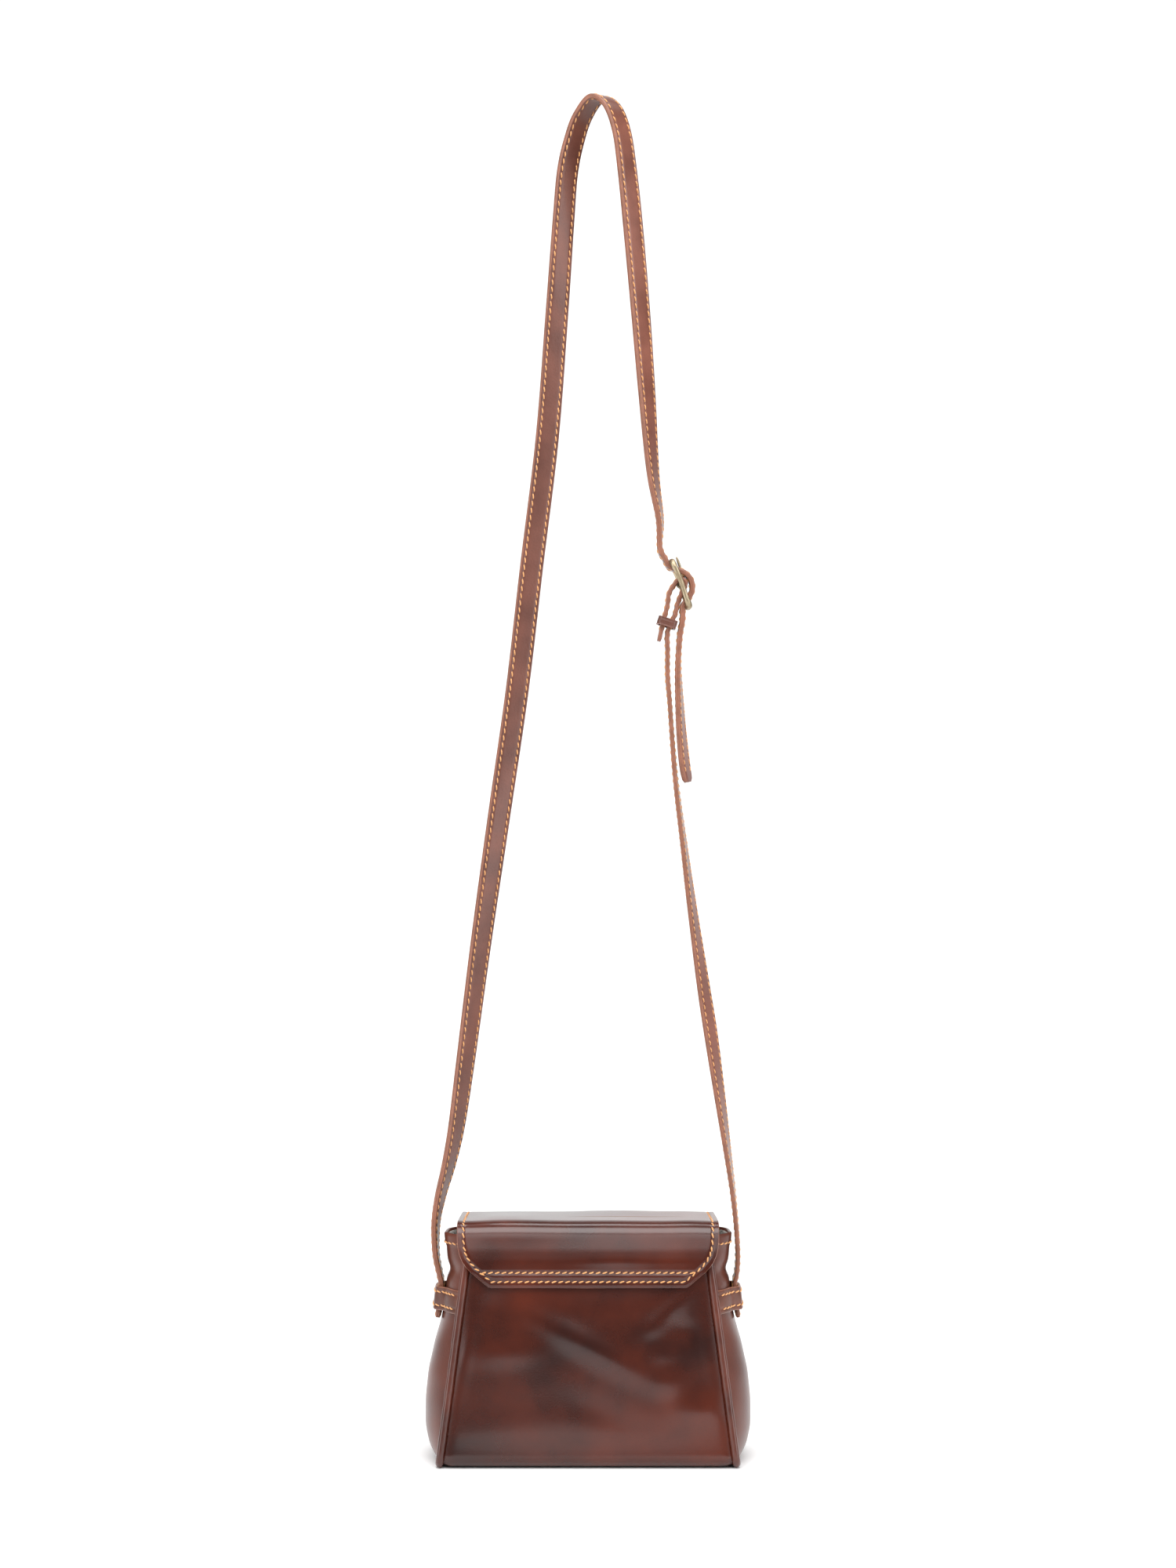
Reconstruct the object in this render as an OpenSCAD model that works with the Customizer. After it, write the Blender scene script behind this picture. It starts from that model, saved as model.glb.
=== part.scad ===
// Crossbody purse: a small wedge-shaped leather bag with a two-fold flap, a hidden
// magnetic snap and one long strap with a centre-bar buckle. Millimetres, +Z up.
// The origin is the middle of the flat base. The sewn end of the flap faces -Y.

/* [Body] */
// Width of the rear and front panels at the bottom
base_w = 167; // [160:1:174]
// Width of the rear and front panels at the mouth
mouth_w = 131; // [128:1:134]
// Height of the rear and front panels
body_h = 135; // [133:1:136]
// Depth of the body at the bottom
base_d = 80; // [76:1:84]
// Depth of the body at the mouth
mouth_d = 50; // [48:1:52]
// Thickness of the body leather
leather = 2; // [1.6:0.1:2.2]
// Radius of the rolled edge piping
piping_r = 2.1; // [1.8:0.1:2.3]

/* [Flap] */
// Height of the folds above the floor
fold_z = 138.4; // [138:0.1:139]
// Width of the flap at the rear fold
flap_w = 151; // [146:1:152]
// Width of the flap at the front fold
flap_front_w = 148; // [144:1:149]
// Height of the sewn rear edge of the flap above the floor
flap_rear_z = 103; // [100:1:108]
// Length of the front part of the flap
flap_drop = 85; // [78:1:88]
// Angle of the hanging front part from the vertical
flap_lean = 10.3; // [10:0.1:11]
// Thickness of each of the two flap layers
flap_layer = 1.45; // [1.3:0.05:1.5]

/* [Strap] */
// Width of the strap
strap_w = 14; // [12:0.5:14]
// Thickness of the long strap, both layers
strap_t = 3; // [2.6:0.1:3]
// Thickness of the short buckle strap, both layers
short_t = 2.4; // [2:0.1:2.4]
// Height of the swing axis above the floor
swing_z = 108; // [108:0.5:109]

/* [Hardware] */
// Radius of the outer bars of the buckle
bar_r = 1.6; // [1.4:0.1:1.7]
// Radius of the centre bar of the buckle
pin_r = 1.3; // [1.2:0.1:1.3]
// Inner width of the buckle
buckle_in_w = 15.6; // [15.2:0.2:17]
// Distance between the end bars of the buckle
buckle_len = 28; // [27:1:29]
// Radius of the magnetic snap
snap_r = 9; // [8:0.5:10]

/* [Hidden] */
$fn = 48;
lining_t = 0.8;
panel_gap = 1;
lean = atan((base_d - mouth_d) / 2 / body_h);
slope_h = body_h / cos(lean);
board_t = 2;
fold_y = mouth_d / 2 + 1.4;
flap_mid = 1.75;
flap_core = 0.3;
fold_gap = 1.95;
snap_drop = 66;
snap_z = fold_z - snap_drop * cos(flap_lean);
band_z = [88, 92, 96, 100];
band_raise = 4.4;
band_t = 1.5;
layer_gap = 0.05;
piping_in = 2.3;
leather_col = [0.36, 0.16, 0.11];
edge_col = [0.56, 0.34, 0.26];
lining_col = [0.55, 0.52, 0.47];
brass_col = [0.66, 0.58, 0.42];
steel_col = [0.7, 0.7, 0.72];

// Height against half-width of the gusset at the middle of its depth
gusset_profile = [
    [4.6, 89.5], [7, 91.4], [10, 93], [20, 95.2], [35, 95.2], [52, 93.5], [68, 90],
    [80, 86.2], [90, 84.2], [100, 83.2], [112, 82], [122, 82.6], [131, 84]];

// Buckle frame: centre, lean of its top towards -X
buckle_c = [54.5, 0, 510];
buckle_lean = 19;
function buckle_pt(n, v) = buckle_c
    + n * [cos(buckle_lean), 0, sin(buckle_lean)]
    + v * [-sin(buckle_lean), 0, cos(buckle_lean)];

// Routes: place and the angle in degrees of the width from +Y towards +X
long_route = concat([
    [[-87, 0, swing_z], 0], [[-88.6, 0, 116], 2], [[-89.2, 0, 125], 5], [[-88.8, 0, 138], 10],
    [[-86, 0, 153], 18], [[-81.5, 0, 170], 26], [[-77, 0, 192], 34], [[-72, 0, 228], 42],
    [[-62.5, 1, 301], 52], [[-52, 2, 375], 62], [[-41.5, 3, 448], 68], [[-33, 4, 521], 70],
    [[-24, 4, 595], 70], [[-18.3, 4, 668], 66], [[-14.4, 4, 723], 58], [[-12, 5, 752], 54],
    [[-8, 6, 771], 50], [[-3, 6, 785], 47], [[5, 1, 794.5], 45], [[13.5, -5, 789.5], 45],
    [[19.5, -7, 774], 46], [[23, -7, 750], 48], [[26.6, -6, 715], 50], [[31, -5, 665], 46],
    [[34.5, -3, 620], 38], [[38, -1, 575], 24], [[42, 0, 548], 10]],
    [for (p = [[-5, 24], [-4.2, 16.5], [-3.5, 12], [0.3, 8.6], [4.3, 4.8], [6, 0], [5, -5.2],
               [1.2, -9.6], [-3.3, -12.3], [-4.8, -16.5], [-6.6, -21]]) [buckle_pt(p[0], p[1]), 0]],
    [[[53.6, 0, 479], 0], [[52.8, 0, 462], 4], [[53.4, 0, 444], 10], [[54.6, 0, 424], 16],
     [[56.6, 0, 404], 20], [[58.4, 0, 394], 22]]);
short_route = concat([
    [[87, 0, swing_z], 180], [[87.6, 0, 118], 181], [[86.8, 0, 134], 183], [[84.8, 0, 154], 186],
    [[81.6, 0, 178], 192], [[77.3, 0, 209], 202], [[72, 0, 246], 210], [[67.5, 0, 275], 208],
    [[61, 0, 320], 198], [[56, 0, 358], 190], [[51, 0, 398], 184], [[47.8, 0, 440], 181],
    [[46.5, 0, 456], 180],
    [[46.5, 0, 470], 180], [[46.6, 0, 482], 180]],
    [for (p = [[-9.5, -16], [-5.2, -9.5], [0.2, -3.4], [2.6, -0.6], [1.9, 1.9], [-0.4, 2.7],
               [-3.6, 1.2]]) [buckle_pt(p[0], p[1]), 180]],
    [[[47.4, 0, 504.5], 180], [[46.4, 0, 497.5], 180], [[44.9, 0, 491.5], 180],
     [[43.4, 0, 485.5], 180], [[42, 0, 479], 180], [[41.4, 0, 476.5], 180]]);

// ---- Shared shapes ----

function flat(lists) = [for (l = lists) for (p = l) p];
function unit(v) = v / norm(v);

// Closed solid between two grids of points that have the same rows and columns
module shell(outer, inner) {
    rows = len(outer);
    cols = len(outer[0]);
    k = rows * cols;
    function at(r, c) = r * cols + c;
    walls = concat([for (r = [0:rows - 1]) at(r, 0)],
        [for (c = [1:cols - 1]) at(rows - 1, c)],
        [for (r = [rows - 2:-1:0]) at(r, cols - 1)],
        [for (c = [cols - 2:-1:1]) at(0, c)]);
    m = len(walls);
    polyhedron(concat(flat(outer), flat(inner)), concat(
        flat([for (r = [0:rows - 2]) for (c = [0:cols - 2]) [
            [at(r, c), at(r, c + 1), at(r + 1, c + 1)],
            [at(r, c), at(r + 1, c + 1), at(r + 1, c)],
            [k + at(r, c), k + at(r + 1, c + 1), k + at(r, c + 1)],
            [k + at(r, c), k + at(r + 1, c), k + at(r + 1, c + 1)]]]),
        flat([for (i = [0:m - 1]) let (a = walls[i], b = walls[(i + 1) % m]) [
            [a, b, k + b], [a, k + b, k + a]]])));
}

// Closed solid through rings of points; a second set of rings makes it a pipe. Both broad
// faces of a four-cornered section are cut along the same diagonal, so that layers match.
module loft(rings, bore = []) {
    n = len(rings[0]);
    m = len(rings);
    k = n * m;
    function at(r, c) = r * n + c % n;
    side = flat([for (r = [0:m - 2]) for (c = [0:n - 1]) n == 4 && c == 1
        ? [[at(r, c), at(r, c + 1), at(r + 1, c)], [at(r, c + 1), at(r + 1, c + 1), at(r + 1, c)]]
        : [[at(r, c), at(r, c + 1), at(r + 1, c + 1)], [at(r, c), at(r + 1, c + 1), at(r + 1, c)]]]);
    if (len(bore) == 0)
        polyhedron(flat(rings), concat(side, [[for (c = [n - 1:-1:0]) at(0, c)]],
            [[for (c = [0:n - 1]) at(m - 1, c)]]));
    else
        polyhedron(concat(flat(rings), flat(bore)), concat(side,
            [for (f = side) [k + f[0], k + f[2], k + f[1]]],
            flat([for (c = [0:n - 1]) [
                [at(0, c), k + at(0, c + 1), at(0, c + 1)], [at(0, c), k + at(0, c), k + at(0, c + 1)],
                [at(m - 1, c), at(m - 1, c + 1), k + at(m - 1, c + 1)],
                [at(m - 1, c), k + at(m - 1, c + 1), k + at(m - 1, c)]]])));
}

// ---- Body shape ----

function edge_x(z) = base_w / 2 + (mouth_w - base_w) / 2 * z / body_h;
function half_d(z) = base_d / 2 - (base_d - mouth_d) / 2 * z / body_h;
function piping_x(z) = edge_x(z) + piping_r + 0.1;
// The gusset's edge lies behind the piping, and turns in where the piping rounds the corner
function gusset_half(z) = half_d(z) - piping_in - piping_r - 0.3 - 10 * pow(max(0, 1 - z / 10), 2);
// Outside of the gusset at height z and the part f of its half depth
function gusset_x(z, f) = let (edge = piping_x(z) + 1)
    edge + (lookup(z, gusset_profile) - edge) * (1 - pow(abs(f), 2.4));

// Places children, drawn in the plane with Y up the slope, on the rear face
module on_rear(out = 0) translate([0, -base_d / 2, 0]) rotate([90 - lean, 0, 0])
    translate([0, 0, out]) children();
module on_front(out = 0) mirror([0, 1, 0]) on_rear(out) children();
// The same for the hanging front part of the flap, whose fold is at Y = 0
module on_flap(out = 0) mirror([0, 1, 0]) translate([0, -fold_y, fold_z])
    rotate([90 - flap_lean, 0, 0]) translate([0, 0, out]) children();
module on_right() mirror([1, 0, 0]) children();

module panel_outline(inset, low) {
    high = slope_h - inset;
    slope = (base_w - mouth_w) / 2 / slope_h;
    polygon([[-base_w / 2 + slope * low + inset, low], [base_w / 2 - slope * low - inset, low],
        [base_w / 2 - slope * high - inset, high], [-base_w / 2 + slope * high + inset, high]]);
}
module panel() linear_extrude(leather) panel_outline(0, leather + 0.2);
module panel_lining() linear_extrude(lining_t) panel_outline(1.6, 6.4);

module rear_panel() color(leather_col) on_rear(-leather) panel();
module front_panel() color(leather_col) on_front(-leather) panel();
module base_panel() color(leather_col)
    translate([-base_w / 2, -base_d / 2 + 2.4, 0]) cube([base_w, base_d - 4.8, leather]);
module base_board() color(edge_col)
    translate([-81, -35.6, leather + 0.2]) cube([162, 71.2, board_t]);
module lining_rear() color(lining_col) on_rear(-leather - panel_gap - lining_t) panel_lining();
module lining_front() color(lining_col) on_front(-leather - panel_gap - lining_t) panel_lining();
module lining_base() color(lining_col)
    translate([-80, -34.8, leather + board_t + 0.4]) cube([160, 69.6, lining_t]);

module gusset_skin(inset, thick, rows) {
    steps = 6;
    function skin(d) = [for (z = rows) [for (i = [-steps:steps]) let (f = i / steps)
        [-gusset_x(z, f) + d, f * (gusset_half(z) - (inset > 0 ? 1.2 : 0)), z]]];
    shell(skin(inset), skin(inset + thick));
}
gusset_rows = [for (row = gusset_profile) row[0]];
module gusset() color(leather_col) gusset_skin(0, leather, gusset_rows);
lining_rows = [7, 20, 35, 52, 68, 80, 90, 100, 112, 122, 129.5];
module gusset_lining() color(lining_col) gusset_skin(leather + 0.2, lining_t, lining_rows);
module gusset_left() gusset();
module gusset_right() on_right() gusset();
module lining_gusset_left() gusset_lining();
module lining_gusset_right() on_right() gusset_lining();

// The piping runs down the rear edge, under the gusset and up the front edge
corner_r = 6;
piping_side = concat(
    [for (z = [body_h - 1, 100, 60, 25, piping_r + corner_r + 1])
        [-piping_x(z), -half_d(z) + piping_in, z]],
    [for (a = [30, 60, 90]) [-piping_x(0), -base_d / 2 + piping_in + 1 + corner_r * (1 - cos(a)),
        piping_r + corner_r * (1 - sin(a))]]);
piping_route = concat(piping_side,
    [for (i = [len(piping_side) - 1:-1:0]) [piping_side[i][0], -piping_side[i][1], piping_side[i][2]]]);
function round_rings(route, r, sides) = [for (i = [0:len(route) - 1]) let (
    t = unit(route[min(i + 1, len(route) - 1)] - route[max(i - 1, 0)]),
    u = unit([1, 0, 0] - t * t[0]), v = cross(t, u))
    [for (k = [0:sides - 1]) route[i] + r * (cos(-k * 360 / sides) * u + sin(-k * 360 / sides) * v)]];
module piping() color(leather_col)
    loft(round_rings(piping_route, piping_r, 10), round_rings(piping_route, piping_r - 0.8, 10));
module piping_core() color(lining_col) loft(round_rings(piping_route, piping_r - 0.95, 8));
module piping_left() piping();
module piping_right() on_right() piping();
module piping_core_left() piping_core();
module piping_core_right() on_right() piping_core();

// ---- Strap anchors ----

// The strap end lies flat on the gusset, under a sewn band
module strap_end() color(leather_col) translate([-86.2, 0, 82]) rotate([0, 7.1, 0])
    translate([-strap_t, -strap_w / 2, 0]) cube([strap_t, strap_w, 18.4]);
function band_bump(y) = let (k = max(0, min(1, (15 - abs(y)) / 6.5))) k * k * (3 - 2 * k);
module anchor_band() {
    steps = 12;
    function skin(d) = [for (z = band_z) [for (i = [-steps:steps]) let (f = 0.93 * i / steps,
        y = f * gusset_half(z)) [-gusset_x(z, f) - 0.25 - band_raise * band_bump(y) - d, y, z]]];
    color(edge_col) shell(skin(band_t), skin(0));
}
module strap_end_left() strap_end();
module strap_end_right() on_right() strap_end();
module anchor_band_left() anchor_band();
module anchor_band_right() on_right() anchor_band();

// ---- Flap ----

rear_low = flap_rear_z / cos(lean);
rear_bend = (flap_rear_z + 21) / cos(lean);
rear_high = (fold_z - flap_mid * sin(lean)) / cos(lean) - fold_gap;
module rear_outline() polygon([[-flap_w / 2, rear_high], [-flap_w / 2, rear_bend + 2],
    [-flap_w / 2 + 2, rear_bend - 2], [-flap_w / 2 + 18, rear_low + 1.5], [-flap_w / 2 + 21, rear_low],
    [flap_w / 2 - 21, rear_low], [flap_w / 2 - 18, rear_low + 1.5], [flap_w / 2 - 2, rear_bend - 2],
    [flap_w / 2, rear_bend + 2], [flap_w / 2, rear_high]]);
module flap_rear() color(leather_col)
    on_rear(flap_mid + layer_gap) linear_extrude(flap_layer) rear_outline();
module flap_rear_lining() color(edge_col)
    on_rear(flap_mid - flap_layer) linear_extrude(flap_layer) rear_outline();

module top_outline(start) {
    stop = 2 * fold_y - start;
    polygon([[-flap_w / 2, start], [flap_w / 2, start],
        [flap_front_w / 2, stop], [-flap_front_w / 2, stop]]);
}
module fold_rod(y, w) translate([-w / 2, y, fold_z]) rotate([0, 90, 0])
    cylinder(r = flap_layer + layer_gap, h = w);
module flap_top() color(leather_col) {
    translate([0, -fold_y, fold_z + layer_gap]) linear_extrude(flap_layer) top_outline(0);
    fold_rod(-fold_y, flap_w);
    fold_rod(fold_y, flap_front_w);
}
module flap_top_lining() color(edge_col) translate([0, -fold_y, fold_z - flap_layer])
    linear_extrude(flap_layer - layer_gap) top_outline(fold_gap);

front_side = flap_drop - 23;
// Half width of the front part at each drop below the fold
front_edge = [[0, 0], [10, -2.6], [24, -5.8], [front_side, -8.4], [front_side + 4, -10],
    [flap_drop - 1.5, -24], [flap_drop, -27]];
function front_point(p, side, inset, top) = let (low = p[0] > front_side + 4)
    [side * (flap_front_w / 2 + p[1] - (low ? inset / 2 : inset)),
     -max(top, min(p[0], p[0] + (low ? -inset : 0)))];
module front_outline(inset, top) polygon(concat(
    [for (p = front_edge) front_point(p, -1, inset, top)],
    [for (i = [len(front_edge) - 1:-1:0]) front_point(front_edge[i], 1, inset, top)]));
module flap_front() color(leather_col)
    on_flap(flap_core) linear_extrude(flap_layer - 0.2) front_outline(0, fold_gap);
module flap_front_lining() color(edge_col)
    on_flap(-flap_core - flap_layer + 0.2) linear_extrude(flap_layer - 0.2) front_outline(0, fold_gap);
module flap_stiffener() color(lining_col) on_flap(-0.25) difference() {
    linear_extrude(0.5) front_outline(6, 8);
    translate([0, -snap_drop, -1]) cylinder(r = snap_r + 0.5, h = 3);
}

// ---- Magnetic snap ----

// The socket is a pressed cup that holds a ring magnet; the stud hangs in the flap
cup_h = 2.2;
cup_wall = 0.35;
hole_r = 3.6;
module at_socket(out) on_front(out) translate([0, snap_z / cos(lean), 0]) children();
module at_stud(out) on_flap(out) translate([0, -snap_drop, 0]) children();
module snap_socket() color(brass_col) at_socket(0.1) rotate_extrude()
    polygon([[snap_r - cup_wall, 0], [snap_r, 0], [snap_r, cup_h], [hole_r, cup_h],
        [hole_r, cup_h - cup_wall], [snap_r - cup_wall, cup_h - cup_wall]]);
module snap_magnet() color(steel_col) at_socket(0.15) difference() {
    cylinder(r = snap_r - cup_wall - 0.1, h = cup_h - cup_wall - 0.2);
    translate([0, 0, -1]) cylinder(r = hole_r, h = cup_h + 2);
}
module washer() difference() {
    cylinder(r = snap_r - 1, h = 0.5);
    translate([0, 0, -1]) cylinder(r = 2, h = 3);
}
module snap_socket_washer() color(steel_col) at_socket(-leather - 0.75) washer();
module snap_stud() color(brass_col) at_stud(-flap_core - flap_layer + 0.15) mirror([0, 0, 1]) {
    cylinder(r = snap_r - 0.6, h = 1.5);
    cylinder(r = 2.2, h = 2.6);
}
module snap_stud_washer() color(steel_col) at_stud(-0.25) washer();

// ---- Strap ----

function spline(a, b, c, d, t) = 0.5 * (2 * b + (c - a) * t + (2 * a - 5 * b + 4 * c - d) * t * t
    + (3 * b - a - 3 * c + d) * t * t * t);
function smooth(route, k) = let (n = len(route)) concat(
    [for (i = [0:n - 2]) for (j = [0:k - 1]) [for (q = [0, 1]) spline(route[max(i - 1, 0)][q],
        route[i][q], route[i + 1][q], route[min(i + 2, n - 1)][q], j / k)]], [route[n - 1]]);
// Four corners of the strap's section, from side a to side b of its thickness
function section(c, w, n, half, a, b) =
    [c - half * w + a * n, c - half * w + b * n, c + half * w + b * n, c + half * w + a * n];
function strap_rings(pts, a, b, end) = [for (i = [0:len(pts) - 1]) let (
    last = len(pts) - 1,
    t = unit(pts[min(i + 1, last)][0] - pts[max(i - 1, 0)][0]),
    w0 = [sin(pts[i][1]), cos(pts[i][1]), 0],
    w = unit(w0 - t * (w0 * t)), n = cross(t, w),
    left = norm(pts[last][0] - pts[i][0]),
    half = left < end ? strap_w / 2 - 2.6 * (1 - left / end) : strap_w / 2)
    section(pts[i][0], w, n, half, a, b)];
// Half-round lower end of a leg, centred on the swing axis
function end_rings(p, side, a, b) = [for (e = [4:22:70]) section(
    p - [0, 0, strap_w / 2 * cos(e)], [0, side, 0], [-side, 0, 0], strap_w / 2 * sin(e), a, b)];
module strap_layer(route, side, a, b, end) {
    pts = smooth(route, 3);
    loft(concat(end_rings(route[0][0], side, a, b), strap_rings(pts, a, b, end)));
}
module in_buckle() translate(buckle_c) rotate([0, -buckle_lean, 0]) children();
module prong_hole() in_buckle() translate([0.6, -2.2, 2.6]) cube([6.6, 4.4, 8]);
module prong_slot() in_buckle() translate([-3.6, -1.5, -5]) cube([9, 3, 9.5]);
module long_layer(a, b) difference() {
    strap_layer(long_route, 1, a, b, 12);
    prong_hole();
}
module short_layer(a, b) difference() {
    strap_layer(short_route, -1, a, b, 2);
    prong_slot();
}
module strap_long() color(leather_col) long_layer(layer_gap, strap_t / 2);
module strap_long_lining() color(edge_col) long_layer(-strap_t / 2, 0);
module strap_short() color(leather_col) short_layer(layer_gap, short_t / 2);
module strap_short_lining() color(edge_col) short_layer(-short_t / 2, 0);

// ---- Buckle ----

module bar_y(v, r, w) translate([0, -w / 2, v]) rotate([-90, 0, 0]) cylinder(r = r, h = w);
module buckle_frame() color(brass_col) in_buckle() {
    side_y = buckle_in_w / 2 + bar_r;
    for (v = [-1, 1]) bar_y(v * buckle_len / 2, bar_r, 2 * side_y);
    bar_y(0, pin_r, 2 * side_y);
    for (s = [-1, 1]) {
        translate([0, s * side_y, -buckle_len / 2]) cylinder(r = bar_r, h = buckle_len);
        for (v = [-1, 1]) translate([0, s * side_y, v * buckle_len / 2]) sphere(r = bar_r);
    }
}
// Eye round the centre bar and a straight tongue that rests on the top bar
wire_r = 0.8;
module buckle_prong() color(brass_col) in_buckle() {
    eye_r = pin_r + 0.08 + wire_r;
    rotate([90, 0, 0]) rotate_extrude() translate([eye_r, 0]) circle(r = wire_r);
    translate([eye_r, 0, 0]) rotate([0, 1.4, 0]) cylinder(r = wire_r, h = buckle_len / 2 + 2);
}
// Leather loop round both legs of the short strap, below the buckle
keeper_c = [46.2, 0, 487.3];
keeper_lean = 18;
module strap_keeper() color(leather_col) translate(keeper_c) rotate([0, keeper_lean, 0]) difference() {
    translate([-5.2, -9.2, -2.5]) cube([10.4, 18.4, 5]);
    translate([-4, -7.6, -4]) cube([8, 15.2, 8]);
}

rear_panel();
front_panel();
base_panel();
gusset_left();
gusset_right();
piping_left();
piping_right();
piping_core_left();
piping_core_right();
base_board();
lining_rear();
lining_front();
lining_base();
lining_gusset_left();
lining_gusset_right();
strap_end_left();
strap_end_right();
anchor_band_left();
anchor_band_right();
flap_rear();
flap_rear_lining();
snap_socket();
snap_magnet();
snap_socket_washer();
flap_top();
flap_top_lining();
flap_front();
flap_front_lining();
flap_stiffener();
snap_stud();
snap_stud_washer();
strap_long();
strap_long_lining();
strap_short();
strap_short_lining();
buckle_frame();
buckle_prong();
strap_keeper();
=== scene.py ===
"""Crossbody purse: leather, cloth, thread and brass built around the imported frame.

Each sub-assembly is a class that works out its surfaces as numpy grids, dresses them in a
finish and hands them to the bodies of the frame. Lengths are metres, in the frame's axes:
+Z up, the sewn end of the flap at -Y, the closing front at +Y.
"""

import logging
from dataclasses import dataclass, field
from enum import Enum
from functools import reduce
from typing import Sequence

import bpy
import numpy as np
from mathutils import Matrix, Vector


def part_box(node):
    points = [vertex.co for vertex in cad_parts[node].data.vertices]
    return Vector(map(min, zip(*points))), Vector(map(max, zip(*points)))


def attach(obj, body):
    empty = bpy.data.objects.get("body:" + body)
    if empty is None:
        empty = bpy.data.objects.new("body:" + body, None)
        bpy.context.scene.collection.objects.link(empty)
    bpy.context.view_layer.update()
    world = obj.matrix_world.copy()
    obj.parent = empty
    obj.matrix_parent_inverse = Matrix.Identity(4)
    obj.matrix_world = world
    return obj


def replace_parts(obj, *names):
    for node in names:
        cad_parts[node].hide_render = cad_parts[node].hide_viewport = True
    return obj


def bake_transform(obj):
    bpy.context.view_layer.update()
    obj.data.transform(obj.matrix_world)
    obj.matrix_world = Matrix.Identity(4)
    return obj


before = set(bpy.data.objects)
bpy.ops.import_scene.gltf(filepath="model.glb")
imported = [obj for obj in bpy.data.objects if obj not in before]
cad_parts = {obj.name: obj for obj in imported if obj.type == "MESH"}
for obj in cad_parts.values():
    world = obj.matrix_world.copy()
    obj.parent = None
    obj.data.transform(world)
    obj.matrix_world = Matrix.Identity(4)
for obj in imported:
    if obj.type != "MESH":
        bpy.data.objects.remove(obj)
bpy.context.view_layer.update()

MM = 0.001
SHARP = np.radians(50.0)
LOG = logging.getLogger("purse")


# ---------------------------------------------------------------------------- shader maths


class Signal:
    """A shader socket that takes part in arithmetic; each operator adds one Math node."""

    def __init__(self, paint: "Paint", socket: bpy.types.NodeSocket) -> None:
        """Keeps the socket and the paint that it belongs to."""
        self.paint = paint
        self.socket = socket

    def math(self, operation: str, *others: "Signal | float") -> "Signal":
        """Returns a Math node of this signal and the others."""
        return self.paint.node("ShaderNodeMath", {"operation": operation}, [self, *others])

    def __add__(self, other: "Signal | float") -> "Signal":
        """Returns self + other."""
        return self.math("ADD", other)

    def __sub__(self, other: "Signal | float") -> "Signal":
        """Returns self - other."""
        return self.math("SUBTRACT", other)

    def __rsub__(self, other: float) -> "Signal":
        """Returns other - self."""
        return self.paint.node("ShaderNodeMath", {"operation": "SUBTRACT"}, [other, self])

    def __mul__(self, other: "Signal | float") -> "Signal":
        """Returns self * other."""
        return self.math("MULTIPLY", other)

    __radd__ = __add__
    __rmul__ = __mul__


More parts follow.
